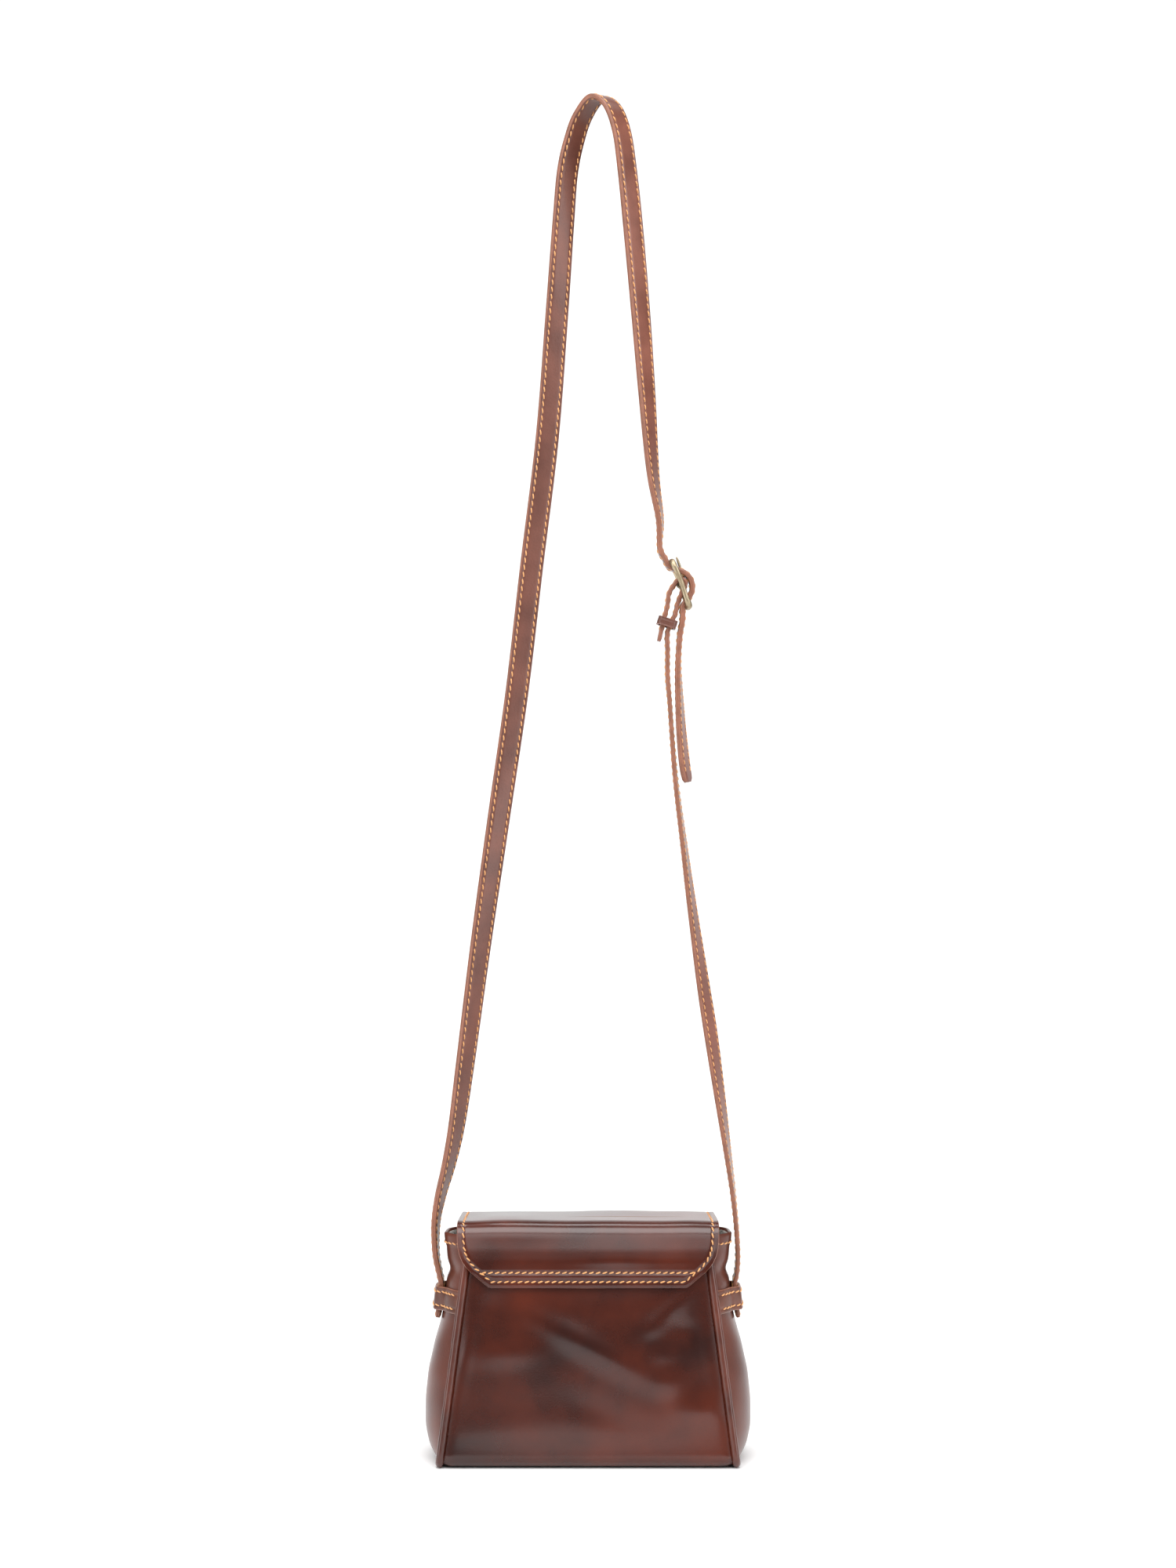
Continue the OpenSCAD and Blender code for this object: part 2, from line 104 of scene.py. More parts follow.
class Paint:
    """A material under construction: one Principled shader and the nodes that feed it."""

    def __init__(self, name: str, **constants: float | tuple) -> None:
        """Starts a material.

        Args:
            name: the material's name.
            constants: values of Principled sockets, with underscores for spaces.
        """
        self.material = bpy.data.materials.new(name)
        self.material.use_nodes = True
        self.tree = self.material.node_tree
        self.shader = self.tree.nodes["Principled BSDF"]
        for key, value in constants.items():
            self.socket(key).default_value = value

    def socket(self, key: str) -> bpy.types.NodeSocket:
        """Returns the Principled shader's socket, named with underscores for spaces."""
        return self.shader.inputs[key.replace("_", " ").title().replace("Ior", "IOR")]

    def node(self, kind: str, settings: dict | None = None,
             inputs: Sequence | dict = (), out: int | str = 0) -> Signal:
        """Adds a node.

        Args:
            kind: the node's type.
            settings: its properties, set first; "stops" are a ramp's positions and colours.
            inputs: values or signals of its sockets, in order or by name.
            out: the output that is wanted.

        Returns:
            The output as a signal.
        """
        made = self.tree.nodes.new(kind)
        for key, value in (settings or {}).items():
            if key == "stops":
                ramp = made.color_ramp.elements
                while len(ramp) < len(value):
                    ramp.new(0.5)
                for stop, (place, colour) in zip(ramp, value):
                    stop.position = place
                    stop.color = (*colour, 1.0)
            else:
                setattr(made, key, value)
        pairs = inputs.items() if isinstance(inputs, dict) else enumerate(inputs)
        for key, value in pairs:
            self.plug(made.inputs[key], value)
        return Signal(self, made.outputs[out])

    def plug(self, socket: bpy.types.NodeSocket, value: "Signal | float | tuple") -> None:
        """Links a signal to a socket, or sets the socket's own value."""
        if isinstance(value, Signal):
            self.tree.links.new(value.socket, socket)
        else:
            socket.default_value = value

    def feed(self, **signals: Signal) -> None:
        """Feeds sockets of the Principled shader, with underscores for spaces."""
        for key, value in signals.items():
            self.plug(self.socket(key), value)

    def place(self) -> Signal:
        """Returns the object coordinates."""
        return self.node("ShaderNodeTexCoord", out="Object")

    def noise(self, scale: float, detail: float = 3.0, rough: float = 0.5,
              stretch: tuple = (1, 1, 1)) -> Signal:
        """Adds a noise field.

        Args:
            scale: cycles in a metre.
            detail: octaves.
            rough: weight of the finer octaves.
            stretch: scale of each axis.

        Returns:
            The field, about 0.5 on average.
        """
        there = self.node("ShaderNodeMapping", {}, {
            "Vector": self.place(), "Scale": stretch})
        return self.node("ShaderNodeTexNoise", {}, {
            "Vector": there, "Scale": scale, "Detail": detail, "Roughness": rough})

    def ramp(self, signal: Signal, stops: Sequence) -> Signal:
        """Returns the colour that a ramp gives the signal."""
        return self.node("ShaderNodeValToRGB", {"stops": stops}, [signal])

    def spread(self, signal: Signal, low: float, high: float,
               start: float = 0.0, stop: float = 1.0) -> Signal:
        """Returns the signal with the range low to high mapped to start to stop."""
        return self.node("ShaderNodeMapRange", {"clamp": True}, [signal, low, high, start, stop])

    def mix(self, share: "Signal | float", first: "Signal | tuple",
            second: "Signal | tuple") -> Signal:
        """Returns a colour between two colours."""
        made = self.tree.nodes.new("ShaderNodeMix")
        made.data_type = "RGBA"
        self.plug(made.inputs["Factor"], share)
        for socket, colour in zip([s for s in made.inputs if s.type == "RGBA"], (first, second)):
            self.plug(socket, colour if isinstance(colour, Signal) else (*colour, 1.0))
        return Signal(self, next(s for s in made.outputs if s.type == "RGBA"))

    def relief(self, height: Signal, depth: float) -> None:
        """Feeds the normal with a bump of the given depth in metres."""
        self.feed(normal=self.node("ShaderNodeBump", {}, {
            "Height": height, "Distance": depth, "Strength": 1.0}))


def shade(colour: tuple, factor: float) -> tuple:
    """Returns a colour made darker or lighter by a factor."""
    return tuple(part * factor for part in colour)


class Finish:
    """A finish makes its material once and then shares it."""

    made: dict[str, bpy.types.Material] = {}
    name = "finish"

    def build(self) -> bpy.types.Material:
        """Makes the material."""
        raise NotImplementedError

    def material(self) -> bpy.types.Material:
        """Returns the finish's material, made at first use."""
        if self.name not in Finish.made:
            Finish.made[self.name] = self.build()
        return Finish.made[self.name]


@dataclass(frozen=True)
class Leather(Finish):
    """Tanned leather: mottled dye, pores and a glaze that hand rubbing has worn unevenly."""

    name: str = "glazed_leather"
    dark: tuple = (0.021, 0.0042, 0.0026)
    light: tuple = (0.078, 0.0115, 0.0035)
    rough: float = 0.22
    coat: float = 0.12
    cloud: float = 19.0
    grain: float = 1100.0
    depth: float = 0.000012
    glaze: float = 0.12
    streaks: float = 0.07

    def build(self) -> bpy.types.Material:
        """Mixes two dyes by a cloudy field, and lifts the grain with fine cells."""
        paint = Paint(self.name, coat_roughness=self.glaze, ior=1.5, specular_ior_level=0.5)
        cloud = paint.noise(self.cloud, 3.0, 0.5)
        streak = paint.noise(self.cloud * 7.0, 3.0, 0.55)
        dye = paint.spread(cloud * (1.0 - self.streaks) + streak * self.streaks, 0.33, 0.67)
        cells = paint.node("ShaderNodeTexVoronoi", {"feature": "SMOOTH_F1"}, {
            "Vector": paint.place(), "Scale": self.grain, "Smoothness": 0.6})
        pores = paint.spread(paint.noise(self.grain * 1.6, 2.0), 0.3, 0.42, 0.75, 1.0)
        mid = tuple((a + b) / 2 for a, b in zip(self.dark, self.light))
        colour = paint.ramp(dye, [(0.0, self.dark), (0.5, mid), (1.0, self.light)])
        paint.feed(
            base_color=paint.mix(pores, shade(self.dark, 0.7), colour),
            roughness=paint.spread(cloud, 0.3, 0.7, self.rough * 0.92, self.rough * 1.12),
            coat_weight=paint.spread(cloud, 0.3, 0.7, self.coat * 0.9, self.coat))
        paint.relief(cells, self.depth)
        return paint.material


@dataclass(frozen=True)
class EdgeDye(Finish):
    """Painted and burnished cut edge of leather."""

    name: str = "edge_dye"
    colour: tuple = (0.235, 0.088, 0.05)

    def build(self) -> bpy.types.Material:
        """Runs fine fibres through a waxy brown."""
        paint = Paint(self.name, coat_weight=0.25, coat_roughness=0.3)
        fibre = paint.noise(2200.0, 3.0, 0.7)
        blot = paint.noise(160.0, 3.0)
        paint.feed(
            base_color=paint.ramp(fibre * 0.5 + blot * 0.5, [
                (0.3, shade(self.colour, 0.6)), (0.7, shade(self.colour, 1.3))]),
            roughness=paint.spread(blot, 0.3, 0.7, 0.38, 0.6))
        paint.relief(fibre, 0.00008)
        return paint.material


@dataclass(frozen=True)
class Cloth(Finish):
    """Woven cotton with specks of a darker yarn."""

    name: str = "lining_cloth"
    ground: tuple = (0.40, 0.37, 0.33)
    speck: tuple = (0.10, 0.085, 0.07)
    thread: float = 1500.0

    def build(self) -> bpy.types.Material:
        """Crosses two thread waves, paints shade into the dips of the weave, and scatters dark
        specks.
        """
        paint = Paint(self.name, roughness=0.9, sheen_weight=0.25, sheen_roughness=0.5)
        split = paint.node("ShaderNodeSeparateXYZ", {}, [paint.place()]).socket.node
        x, y, z = (Signal(paint, socket) for socket in split.outputs)
        across, up = ((place * self.thread * 2.0).math("SINE") for place in (x + y, z))
        weave = across * up
        speck = paint.spread(paint.noise(700.0, 2.0, 0.7), 0.56, 0.62)
        # painted shade: the cloth darkens where the weave's relief sinks between the threads
        base = paint.ramp(paint.spread(weave, -1.0, 1.0), [
            (0.0, shade(self.ground, 0.72)), (1.0, self.ground)])
        paint.feed(base_color=paint.mix(speck, base, self.speck))
        paint.relief(weave, 0.00012)
        return paint.material


@dataclass(frozen=True)
class Thread(Finish):
    """Waxed honey-coloured thread, twisted from fine plies."""

    name: str = "honey_thread"
    colour: tuple = (0.72, 0.345, 0.125)

    def build(self) -> bpy.types.Material:
        """Paints shade into the ply grooves of the twist: the colour darkens where the ply relief
        sinks.
        """
        paint = Paint(self.name, roughness=0.55, sheen_weight=0.3, specular_ior_level=0.35)
        ply = paint.noise(1800.0, 2.0, 0.6, (1.0, 1.0, 1.6))
        tone = paint.noise(90.0, 2.0)
        # painted shade: the thread is darker where the ply noise, which is also its relief, is low
        paint.feed(base_color=paint.ramp(ply * 0.7 + tone * 0.3, [
            (0.3, shade(self.colour, 0.6)), (0.58, self.colour)]))
        paint.relief(ply, 0.0001)
        return paint.material


@dataclass(frozen=True)
class Metal(Finish):
    """Cast or pressed metal with tarnish in patches and fine brush marks."""

    name: str = "aged_brass"
    bright: tuple = (0.50, 0.41, 0.28)
    dull: tuple = (0.24, 0.185, 0.115)
    rough: float = 0.3

    def build(self) -> bpy.types.Material:
        """Mixes bright and tarnished metal; tarnish is also rougher."""
        paint = Paint(self.name, metallic=1.0)
        patch = paint.noise(150.0, 3.0, 0.5)
        brush = paint.noise(1600.0, 2.0, 0.5, (1.0, 0.12, 1.0))
        tarnish = paint.spread(patch * 0.85 + brush * 0.15, 0.4, 0.75)
        paint.feed(
            base_color=paint.mix(tarnish, self.bright, self.dull),
            roughness=paint.spread(tarnish, 0.0, 1.0, self.rough, self.rough * 1.9))
        paint.relief(brush, 0.00002)
        return paint.material


@dataclass(frozen=True)
class Fibre(Finish):
    """Pressed board, twisted cord or ferrite: a matt speckled solid."""

    name: str = "fibre_board"
    colour: tuple = (0.28, 0.20, 0.12)
    rough: float = 0.9

    def build(self) -> bpy.types.Material:
        """Speckles the colour and roughens the surface."""
        paint = Paint(self.name, roughness=self.rough)
        speck = paint.noise(900.0, 4.0, 0.7)
        paint.feed(base_color=paint.ramp(speck, [
            (0.35, shade(self.colour, 0.6)), (0.65, shade(self.colour, 1.25))]))
        paint.relief(speck, 0.0001)
        return paint.material


class Finishes(Enum):
    """The finishes of this purse."""

    PANEL = Leather()
    GUSSET = Leather("soft_leather", (0.052, 0.0125, 0.0075), (0.115, 0.029, 0.016),
                     rough=0.34, coat=0.2, cloud=22.0, grain=800.0, depth=0.00003)
    PIPING = Leather("piping_leather", (0.045, 0.0095, 0.0055), (0.11, 0.024, 0.012),
                     rough=0.3, coat=0.25, cloud=40.0)
    STRAP = Leather("strap_leather", (0.125, 0.041, 0.027), (0.215, 0.076, 0.050),
                    rough=0.31, coat=0.22, cloud=35.0, grain=800.0, depth=0.00004)
    UNDERSIDE = Leather("strap_underside", (0.080, 0.024, 0.015), (0.145, 0.046, 0.028),
                        rough=0.38, coat=0.12, cloud=40.0, grain=700.0, depth=0.00005)
    KEEPER = Leather("keeper_leather", (0.07, 0.022, 0.013), (0.14, 0.046, 0.028),
                     rough=0.38, coat=0.15, cloud=60.0)
    EDGE = EdgeDye()
    CLOTH = Cloth()
    THREAD = Thread()
    BRASS = Metal()
    STEEL = Metal("zinc_steel", (0.62, 0.62, 0.63), (0.35, 0.35, 0.36), 0.3)
    BOARD = Fibre()
    CORD = Fibre("core_cord", (0.55, 0.48, 0.38))
    FERRITE = Fibre("ferrite", (0.03, 0.03, 0.032), 0.5)

    @property
    def material(self) -> bpy.types.Material:
        """The material of this finish."""
        return self.value.material()


# ---------------------------------------------------------------------------- surfaces


def unit(vectors: np.ndarray) -> np.ndarray:
    """Returns the vectors at length 1."""
    return vectors / np.maximum(np.linalg.norm(vectors, axis=-1, keepdims=True), 1e-12)


def ease(values: np.ndarray, low: float, high: float) -> np.ndarray:
    """Returns 0 below low and 1 above high, with the cubic 3t^2 - 2t^3 between them."""
    share = np.clip((values - low) / (high - low), 0.0, 1.0)
    return share * share * (3.0 - 2.0 * share)


def bell(values: np.ndarray, centre: float, width: float) -> np.ndarray:
    """Returns the bell curve exp(-((value - centre) / width)^2)."""
    return np.exp(-(((values - centre) / width) ** 2))


def catmull(points: np.ndarray, per: int) -> np.ndarray:
    """Draws a Catmull-Rom curve through points, with the end points doubled.

    Args:
        points: rows of coordinates.
        per: samples in each span.

    Returns:
        The samples, the last point included.
    """
    pad = np.vstack([points[:1], points, points[-1:]])
    a, b, c, d = pad[:-3], pad[1:-2], pad[2:-1], pad[3:]
    t = np.arange(per)[:, None, None] / per
    curve = 0.5 * (2 * b + (c - a) * t + (2 * a - 5 * b + 4 * c - d) * t ** 2
                   + (3 * b - a - 3 * c + d) * t ** 3)
    return np.vstack([curve.transpose(1, 0, 2).reshape(-1, points.shape[1]), points[-1:]])


def lengths(points: np.ndarray) -> np.ndarray:
    """Returns the distance travelled along a line at each of its points."""
    return np.concatenate([[0.0], np.cumsum(np.linalg.norm(np.diff(points, axis=0), axis=1))])


def walk(points: np.ndarray, at: np.ndarray, travelled: np.ndarray | None = None) -> np.ndarray:
    """Returns a line's points, or other rows that change along it, at distances from its start.

    Args:
        points: the rows.
        at: the distances.
        travelled: each row's own distance; worked out from the rows when left out.
    """
    travelled = lengths(points) if travelled is None else travelled
    return np.stack([np.interp(at, travelled, column) for column in points.T], axis=1)


def rounded(corners: Sequence, radii: Sequence[float], turn: float = 0.09) -> np.ndarray:
    """Draws a line of straight runs whose inner corners are arcs.

    Each arc touches both runs at radius * tan(half the turn) from the corner.

    Args:
        corners: the corners in two dimensions.
        radii: the radius at each inner corner.
        turn: about how far one arc segment turns, in radians.

    Returns:
        The points of the line.
    """
    corners = np.asarray(corners, float)
    line = [corners[:1]]
    for before, here, after, radius in zip(corners, corners[1:], corners[2:], radii):
        into, away = unit(here - before), unit(after - here)
        angle = np.arccos(np.clip(into @ away, -1.0, 1.0))
        side = np.sign(into[0] * away[1] - into[1] * away[0])
        start = here - into * radius * np.tan(angle / 2)
        middle = start + radius * side * np.array([-into[1], into[0]])
        steps = side * np.linspace(0.0, angle, max(3, int(angle / turn)))[:, None]
        arm = start - middle
        line.append(middle + np.hstack([
            arm[0] * np.cos(steps) - arm[1] * np.sin(steps),
            arm[0] * np.sin(steps) + arm[1] * np.cos(steps)]))
    return np.vstack([*line, corners[-1:]])


def rounded_rectangle(w: float, h: float, radius: float, turn: float) -> np.ndarray:
    """Returns the points of a rectangle with round corners, from the middle of its top.

    Args:
        w: half its width.
        h: half its height.
        radius: the radius of its corners.
        turn: about how far one arc segment turns, in radians.
    """
    corners = ((0, h), (w, h), (w, -h), (-w, -h), (-w, h), (0, h))
    return rounded(corners, (radius,) * 4, turn)[:-1]


def inset(corners: Sequence, distance: float) -> np.ndarray:
    """Moves an open outline sideways; each inner corner slides along its bisector.

    Args:
        corners: the outline's corners in two dimensions.
        distance: how far it moves to the left of its direction.

    Returns:
        The moved corners.
    """
    corners = np.asarray(corners, float)
    runs = unit(np.diff(corners, axis=0))
    left = np.stack([-runs[:, 1], runs[:, 0]], axis=1)
    before, after = np.vstack([left[:1], left]), np.vstack([left, left[-1:]])
    miter = (before + after) / (1.0 + np.sum(before * after, axis=1, keepdims=True))
    return corners + distance * miter


def nearness(places: np.ndarray, line: np.ndarray, width: float) -> np.ndarray:
    """Returns the bell curve of each place's distance to a line's nearest point.

    Args:
        places: an array of places, its last axis two dimensions.
        line: the points of the line, close together.
        width: the bell's width.
    """
    flat = places.reshape(-1, 2)
    gap = np.min(np.linalg.norm(flat[:, None, :] - line[None], axis=2), axis=1)
    return bell(gap, 0.0, width).reshape(places.shape[:-1])


@dataclass
class Shape:
    """Points and blocks of faces; each block has the number of its finish."""

    points: np.ndarray
    blocks: list = field(default_factory=list)

    def __add__(self, other: "Shape") -> "Shape":
        """Returns both shapes as one."""
        moved = [(faces + len(self.points), kind) for faces, kind in other.blocks]
        return Shape(np.vstack([self.points, other.points]), self.blocks + moved)

    def mirrored(self) -> "Shape":
        """Returns the shape mirrored in X, with its faces turned to point outwards again."""
        return Shape(self.points * np.array([-1.0, 1.0, 1.0]),
                     [(faces[:, ::-1], kind) for faces, kind in self.blocks])


def joined(shapes: Sequence[Shape]) -> Shape:
    """Returns several shapes as one."""
    return reduce(Shape.__add__, shapes)


def slab(outer: np.ndarray, inner: np.ndarray, bulge: float = 0.3, steps: int = 4,
         kinds: tuple = (0, 1, 2)) -> Shape:
    """Closes the space between two grids; the rim between their borders is half round.

    Rim point = border of outer * (1 - s) + border of inner * s, pushed away from the sheet by
    bulge * thickness * sin(pi * s).

    Args:
        outer: rows by columns of points.
        inner: the same, on the other side.
        bulge: how far the rim stands out, as a part of the thickness.
        steps: bands of faces round the rim.
        kinds: finishes of the outer side, the inner side and the rim.

    Returns:
        The closed shape.
    """
    rows, cols = outer.shape[:2]
    at = np.arange(rows * cols).reshape(rows, cols)
    loop = np.concatenate([at[:-1, 0], at[-1, :-1], at[:0:-1, -1], at[0, :0:-1]])
    inward = at.copy()
    inward[0], inward[-1] = at[1], at[-2]
    inward[:, 0] = inward[:, 1]
    inward[:, -1] = inward[:, -2]
    top, low = outer.reshape(-1, 3), inner.reshape(-1, 3)
    away = unit(top[loop] - top[inward.reshape(-1)[loop]])
    thick = np.linalg.norm(top[loop] - low[loop], axis=1, keepdims=True)
    share = (np.arange(1, steps) / steps)[:, None, None]
    rings = (top[loop] * (1 - share) + low[loop] * share
             + away * thick * bulge * np.sin(np.pi * share))
    points = np.vstack([top, low, rings.reshape(-1, 3)])
    faces = np.stack([at[:-1, :-1], at[:-1, 1:], at[1:, 1:], at[1:, :-1]], axis=-1).reshape(-1, 4)
    across = np.cross(outer[:-1, 1:] - outer[:-1, :-1], outer[1:, :-1] - outer[:-1, :-1])
    turned = np.sum(across * (outer - inner)[:-1, :-1]) < 0
    between = 2 * rows * cols + np.arange((steps - 1) * len(loop)).reshape(steps - 1, -1)
    chain = np.vstack([loop, between, loop + rows * cols])
    following = np.roll(chain, -1, axis=1)
    rim = np.stack([chain[:-1], following[:-1], following[1:], chain[1:]], axis=-1).reshape(-1, 4)
    blocks = [(faces, kinds[0]), (faces[:, ::-1] + rows * cols, kinds[1]), (rim, kinds[2])]
    return Shape(points, [(f[:, ::-1], k) for f, k in blocks] if turned else blocks)


def sweep(path: np.ndarray, across: np.ndarray, out: np.ndarray, section: np.ndarray,
          kinds: Sequence[int] = (), closed: bool = False) -> Shape:
    """Carries a closed section along a path: point = path + across * u + out * v.

    Args:
        path: the points of the path.
        across: the direction of the section's u at each point.
        out: the direction of its v.
        section: the (u, v) points, the same all along or one set for each point of the path.
        kinds: the finish of each side of the section; all 0 when empty.
        closed: the path joins its own start. Otherwise its ends are closed with flat faces.

    Returns:
        The closed shape.
    """
    section = np.broadcast_to(section, (len(path), *np.shape(section)[-2:]))
    points = (path[:, None] + across[:, None] * section[..., :1] + out[:, None] * section[..., 1:])
    rings, count = points.shape[:2]
    at = np.arange(rings * count).reshape(rings, count)
    low, high = (at, np.roll(at, -1, axis=0)) if closed else (at[:-1], at[1:])
    faces = np.stack([low, np.roll(low, -1, axis=1), np.roll(high, -1, axis=1), high], axis=-1)
    u, v = section[rings // 2].T
    area = np.sum(u * np.roll(v, -1) - v * np.roll(u, -1))
    ahead = path[1:] - path[:-1]
    turned = area * np.sum(np.cross(across, out)[:-1] * ahead) < 0
    kinds = np.zeros(count, int) if len(kinds) == 0 else np.asarray(kinds)
    blocks = [(faces[:, kinds == k].reshape(-1, 4), int(k)) for k in np.unique(kinds)]
    if not closed:
        blocks += [(at[:1, ::-1], int(kinds.max())), (at[-1:], int(kinds.max()))]
    return Shape(points.reshape(-1, 3), [(f[:, ::-1], k) for f, k in blocks] if turned else blocks)


def disc(radius: float, sides: int, squash: float = 1.0) -> np.ndarray:
    """Returns a round section, its second axis squashed."""
    angle = np.linspace(0.0, 2 * np.pi, sides, endpoint=False)
    return radius * np.stack([np.cos(angle), np.sin(angle) * squash], axis=1)


def tube(path: np.ndarray, radius: np.ndarray | float, side: Sequence[float], sides: int = 16,
         squash: float = 1.0, closed: bool = False) -> Shape:
    """Carries a round section along a path.

    Args:
        path: the points of the path.
        radius: the radius, or one for each point.
        side: a direction that the section's first axis keeps close to.
        sides: points round the section.
        squash: the section's size across that axis, as a part of its size along it.
        closed: the path joins its own start.

    Returns:
        The closed shape.
    """
    ahead = (unit(np.roll(path, -1, axis=0) - np.roll(path, 1, axis=0)) if closed
             else unit(np.gradient(path, axis=0)))
    across = np.broadcast_to(np.asarray(side, float), path.shape)
    across = unit(across - ahead * np.sum(across * ahead, axis=1, keepdims=True))
    sizes = np.broadcast_to(np.asarray(radius, float), (len(path),))[:, None, None]
    section = sizes * disc(1.0, sides, squash)
    return sweep(path, across, np.cross(ahead, across), section, closed=closed)


def stitches(places: np.ndarray, along: np.ndarray, up: np.ndarray, length: float,
             radius: float, slant: float = 20.0, rise: float = 0.45) -> Shape:
    """Lays one short thread at each place, its ends sunk in the leather.

    A thread's middle line is a flat arch: height = rise * radius * (1 - 2.4 s^2) for s from
    -1 to 1, and its radius narrows by a quarter to both ends.

    Args:
        places: where the threads lie on the surface.
        along: the direction of the seam at each place.
        up: the surface's normal at each place.
        length: length of a thread.
        radius: its radius.
        slant: degrees that it is turned from the seam's direction.
        rise: height of the arch's top above the surface, in radii.

    Returns:
        All the threads.
    """
    side = np.cross(up, along)
    turn = np.radians(slant)
    lie = along * np.cos(turn) + side * np.sin(turn)
    beside = np.cross(up, lie)
    s = np.array([-1.0, -0.82, -0.4, 0.0, 0.4, 0.82, 1.0])
    ring = disc(1.0, 6)
    girth = radius * np.array([0.35, 0.8, 0.97, 1.0, 0.97, 0.8, 0.35])
    arch = radius * rise * (1.0 - 2.4 * s ** 2)
    local = np.stack([
        np.repeat(s[:, None] * length / 2, 6, axis=1),
        girth[:, None] * ring[None, :, 0],
        arch[:, None] + girth[:, None] * ring[None, :, 1]], axis=-1).reshape(-1, 3)
    basis = np.stack([lie, beside, up], axis=1)
    points = places[:, None] + np.einsum("pk,skx->spx", local, basis)
    at = np.arange(len(s) * 6).reshape(len(s), 6)
    faces = np.stack([at[:-1], np.roll(at[:-1], -1, axis=1), np.roll(at[1:], -1, axis=1), at[1:]],
                     axis=-1).reshape(-1, 4)
    start = (np.arange(len(places)) * len(local))[:, None, None]
    return Shape(points.reshape(-1, 3), [
        ((block[None] + start).reshape(-1, block.shape[1]), 0)
        for block in (faces, at[:1, ::-1], at[-1:])])


def seam(line: np.ndarray, up: np.ndarray, pitch: float, length: float, radius: float,
         slant: float = 20.0) -> Shape:
    """Sews a line: threads at an even pitch, with the normals carried along the line.

    Args:
        line: points on the surface.
        up: the surface's normals there.
        pitch: distance from stitch to stitch.
        length: length of a thread.
        radius: its radius.
        slant: degrees that it is turned from the line.

    Returns:
        All the threads.
    """
    travelled = lengths(line)
    total = travelled[-1]
    count = max(2, round(total / pitch))
    at = (np.arange(count) + 0.5) * total / count
    normals = walk(up, at, travelled)
    ahead = unit(walk(line, at + pitch / 8) - walk(line, at - pitch / 8))
    normals = unit(normals - ahead * np.sum(normals * ahead, axis=1, keepdims=True))
    return stitches(walk(line, at), ahead, normals, length, radius, slant)


def add_object(name: str, data: bpy.types.ID) -> bpy.types.Object:
    """Adds an object with the given data to the scene."""
    added = bpy.data.objects.new(name, data)
    bpy.context.scene.collection.objects.link(added)
    return added


def add_mesh(name: str, shape: Shape, materials: Sequence[bpy.types.Material],
             sharp: float) -> bpy.types.Object:
    """Adds a shape to the scene as a smooth-shaded object at the origin.

    Args:
        name: the object's name.
        shape: its points and faces.
        materials: the material of each kind of face; the last one also takes further kinds.
        sharp: edges that turn further than this many radians are shaded sharp.
    """
    mesh = bpy.data.meshes.new(name)
    faces = [row for block, _ in shape.blocks for row in block.tolist()]
    mesh.from_pydata(shape.points, [], faces)
    kinds = np.concatenate([np.full(len(block), kind, np.int32) for block, kind in shape.blocks])
    for material in materials:
        mesh.materials.append(material)
    mesh.polygons.foreach_set("material_index", np.minimum(kinds, len(materials) - 1))
    mesh.polygons.foreach_set("use_smooth", np.ones(len(faces), bool))
    mesh.update()
    mesh.set_sharp_from_angle(angle=sharp)
    LOG.info("%s: %d faces", name, len(faces))
    return add_object(name, mesh)


def make(name: str, shape: Shape, slot: str, *finishes: Finishes) -> bpy.types.Object:
    """Makes a piece of the purse.

    Args:
        name: the piece's name.
        shape: its points and faces.
        slot: the name of a material slot; not used.
        finishes: the finish of each kind of face.
    """
    piece = add_mesh(name, shape, [finish.material for finish in finishes], SHARP)
    return piece


# ---------------------------------------------------------------------------- body of the purse


@dataclass
class BodyForm:
    """The wedge that panels, gussets, piping and lining share. Heights z run from the floor."""

    base_w: float
    body_h: float
    base_d: float
    mouth_w: float = 131 * MM
    mouth_d: float = 50 * MM
    piping_r: float = 2.3 * MM
    corner_r: float = 6 * MM
    shoulder: float = 3.0 * MM

    @classmethod
    def from_frame(cls) -> "BodyForm":
        """Reads the width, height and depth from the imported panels."""
        (left, rear, _), (right, _, top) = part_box("rear_panel")
        return cls(base_w=right - left, body_h=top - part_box("base_panel")[0][2], base_d=-2 * rear)

    def edge_x(self, z: np.ndarray) -> np.ndarray:
        """Returns half the width of the panels."""
        return self.base_w / 2 + (self.mouth_w - self.base_w) / 2 * z / self.body_h

    def half_d(self, z: np.ndarray) -> np.ndarray:
        """Returns half the depth of the wedge, by straight lines."""
        return self.base_d / 2 - (self.base_d - self.mouth_d) / 2 * z / self.body_h

    def rear_y(self, z: np.ndarray) -> np.ndarray:
        """Returns the depth of the rear leather; its top leans in a little more."""
        lean = ease(z, 106 * MM, 140 * MM) * (0.4 + 0.6 * ease(z, 120 * MM, 150 * MM))
        return self.half_d(z) - self.shoulder * lean

    def piping_x(self, z: np.ndarray) -> np.ndarray:
        """Returns where the middle of the piping lies."""
        return self.edge_x(z) + self.piping_r + 0.2 * MM

    def seam_y(self, z: np.ndarray, side: float) -> np.ndarray:
        """Returns the depth of the piping's middle, which rounds the corner at the floor.

        Args:
            z: heights.
            side: -1 at the rear and 1 at the front.
        """
        depth = (self.rear_y(z) if side < 0 else self.half_d(z)) - 1.5 * MM
        low = self.piping_r + self.corner_r
        drop = np.clip((low - z) / self.corner_r, 0.0, 1.0)
        return depth - self.corner_r * (1 - np.sqrt(1 - drop ** 2))


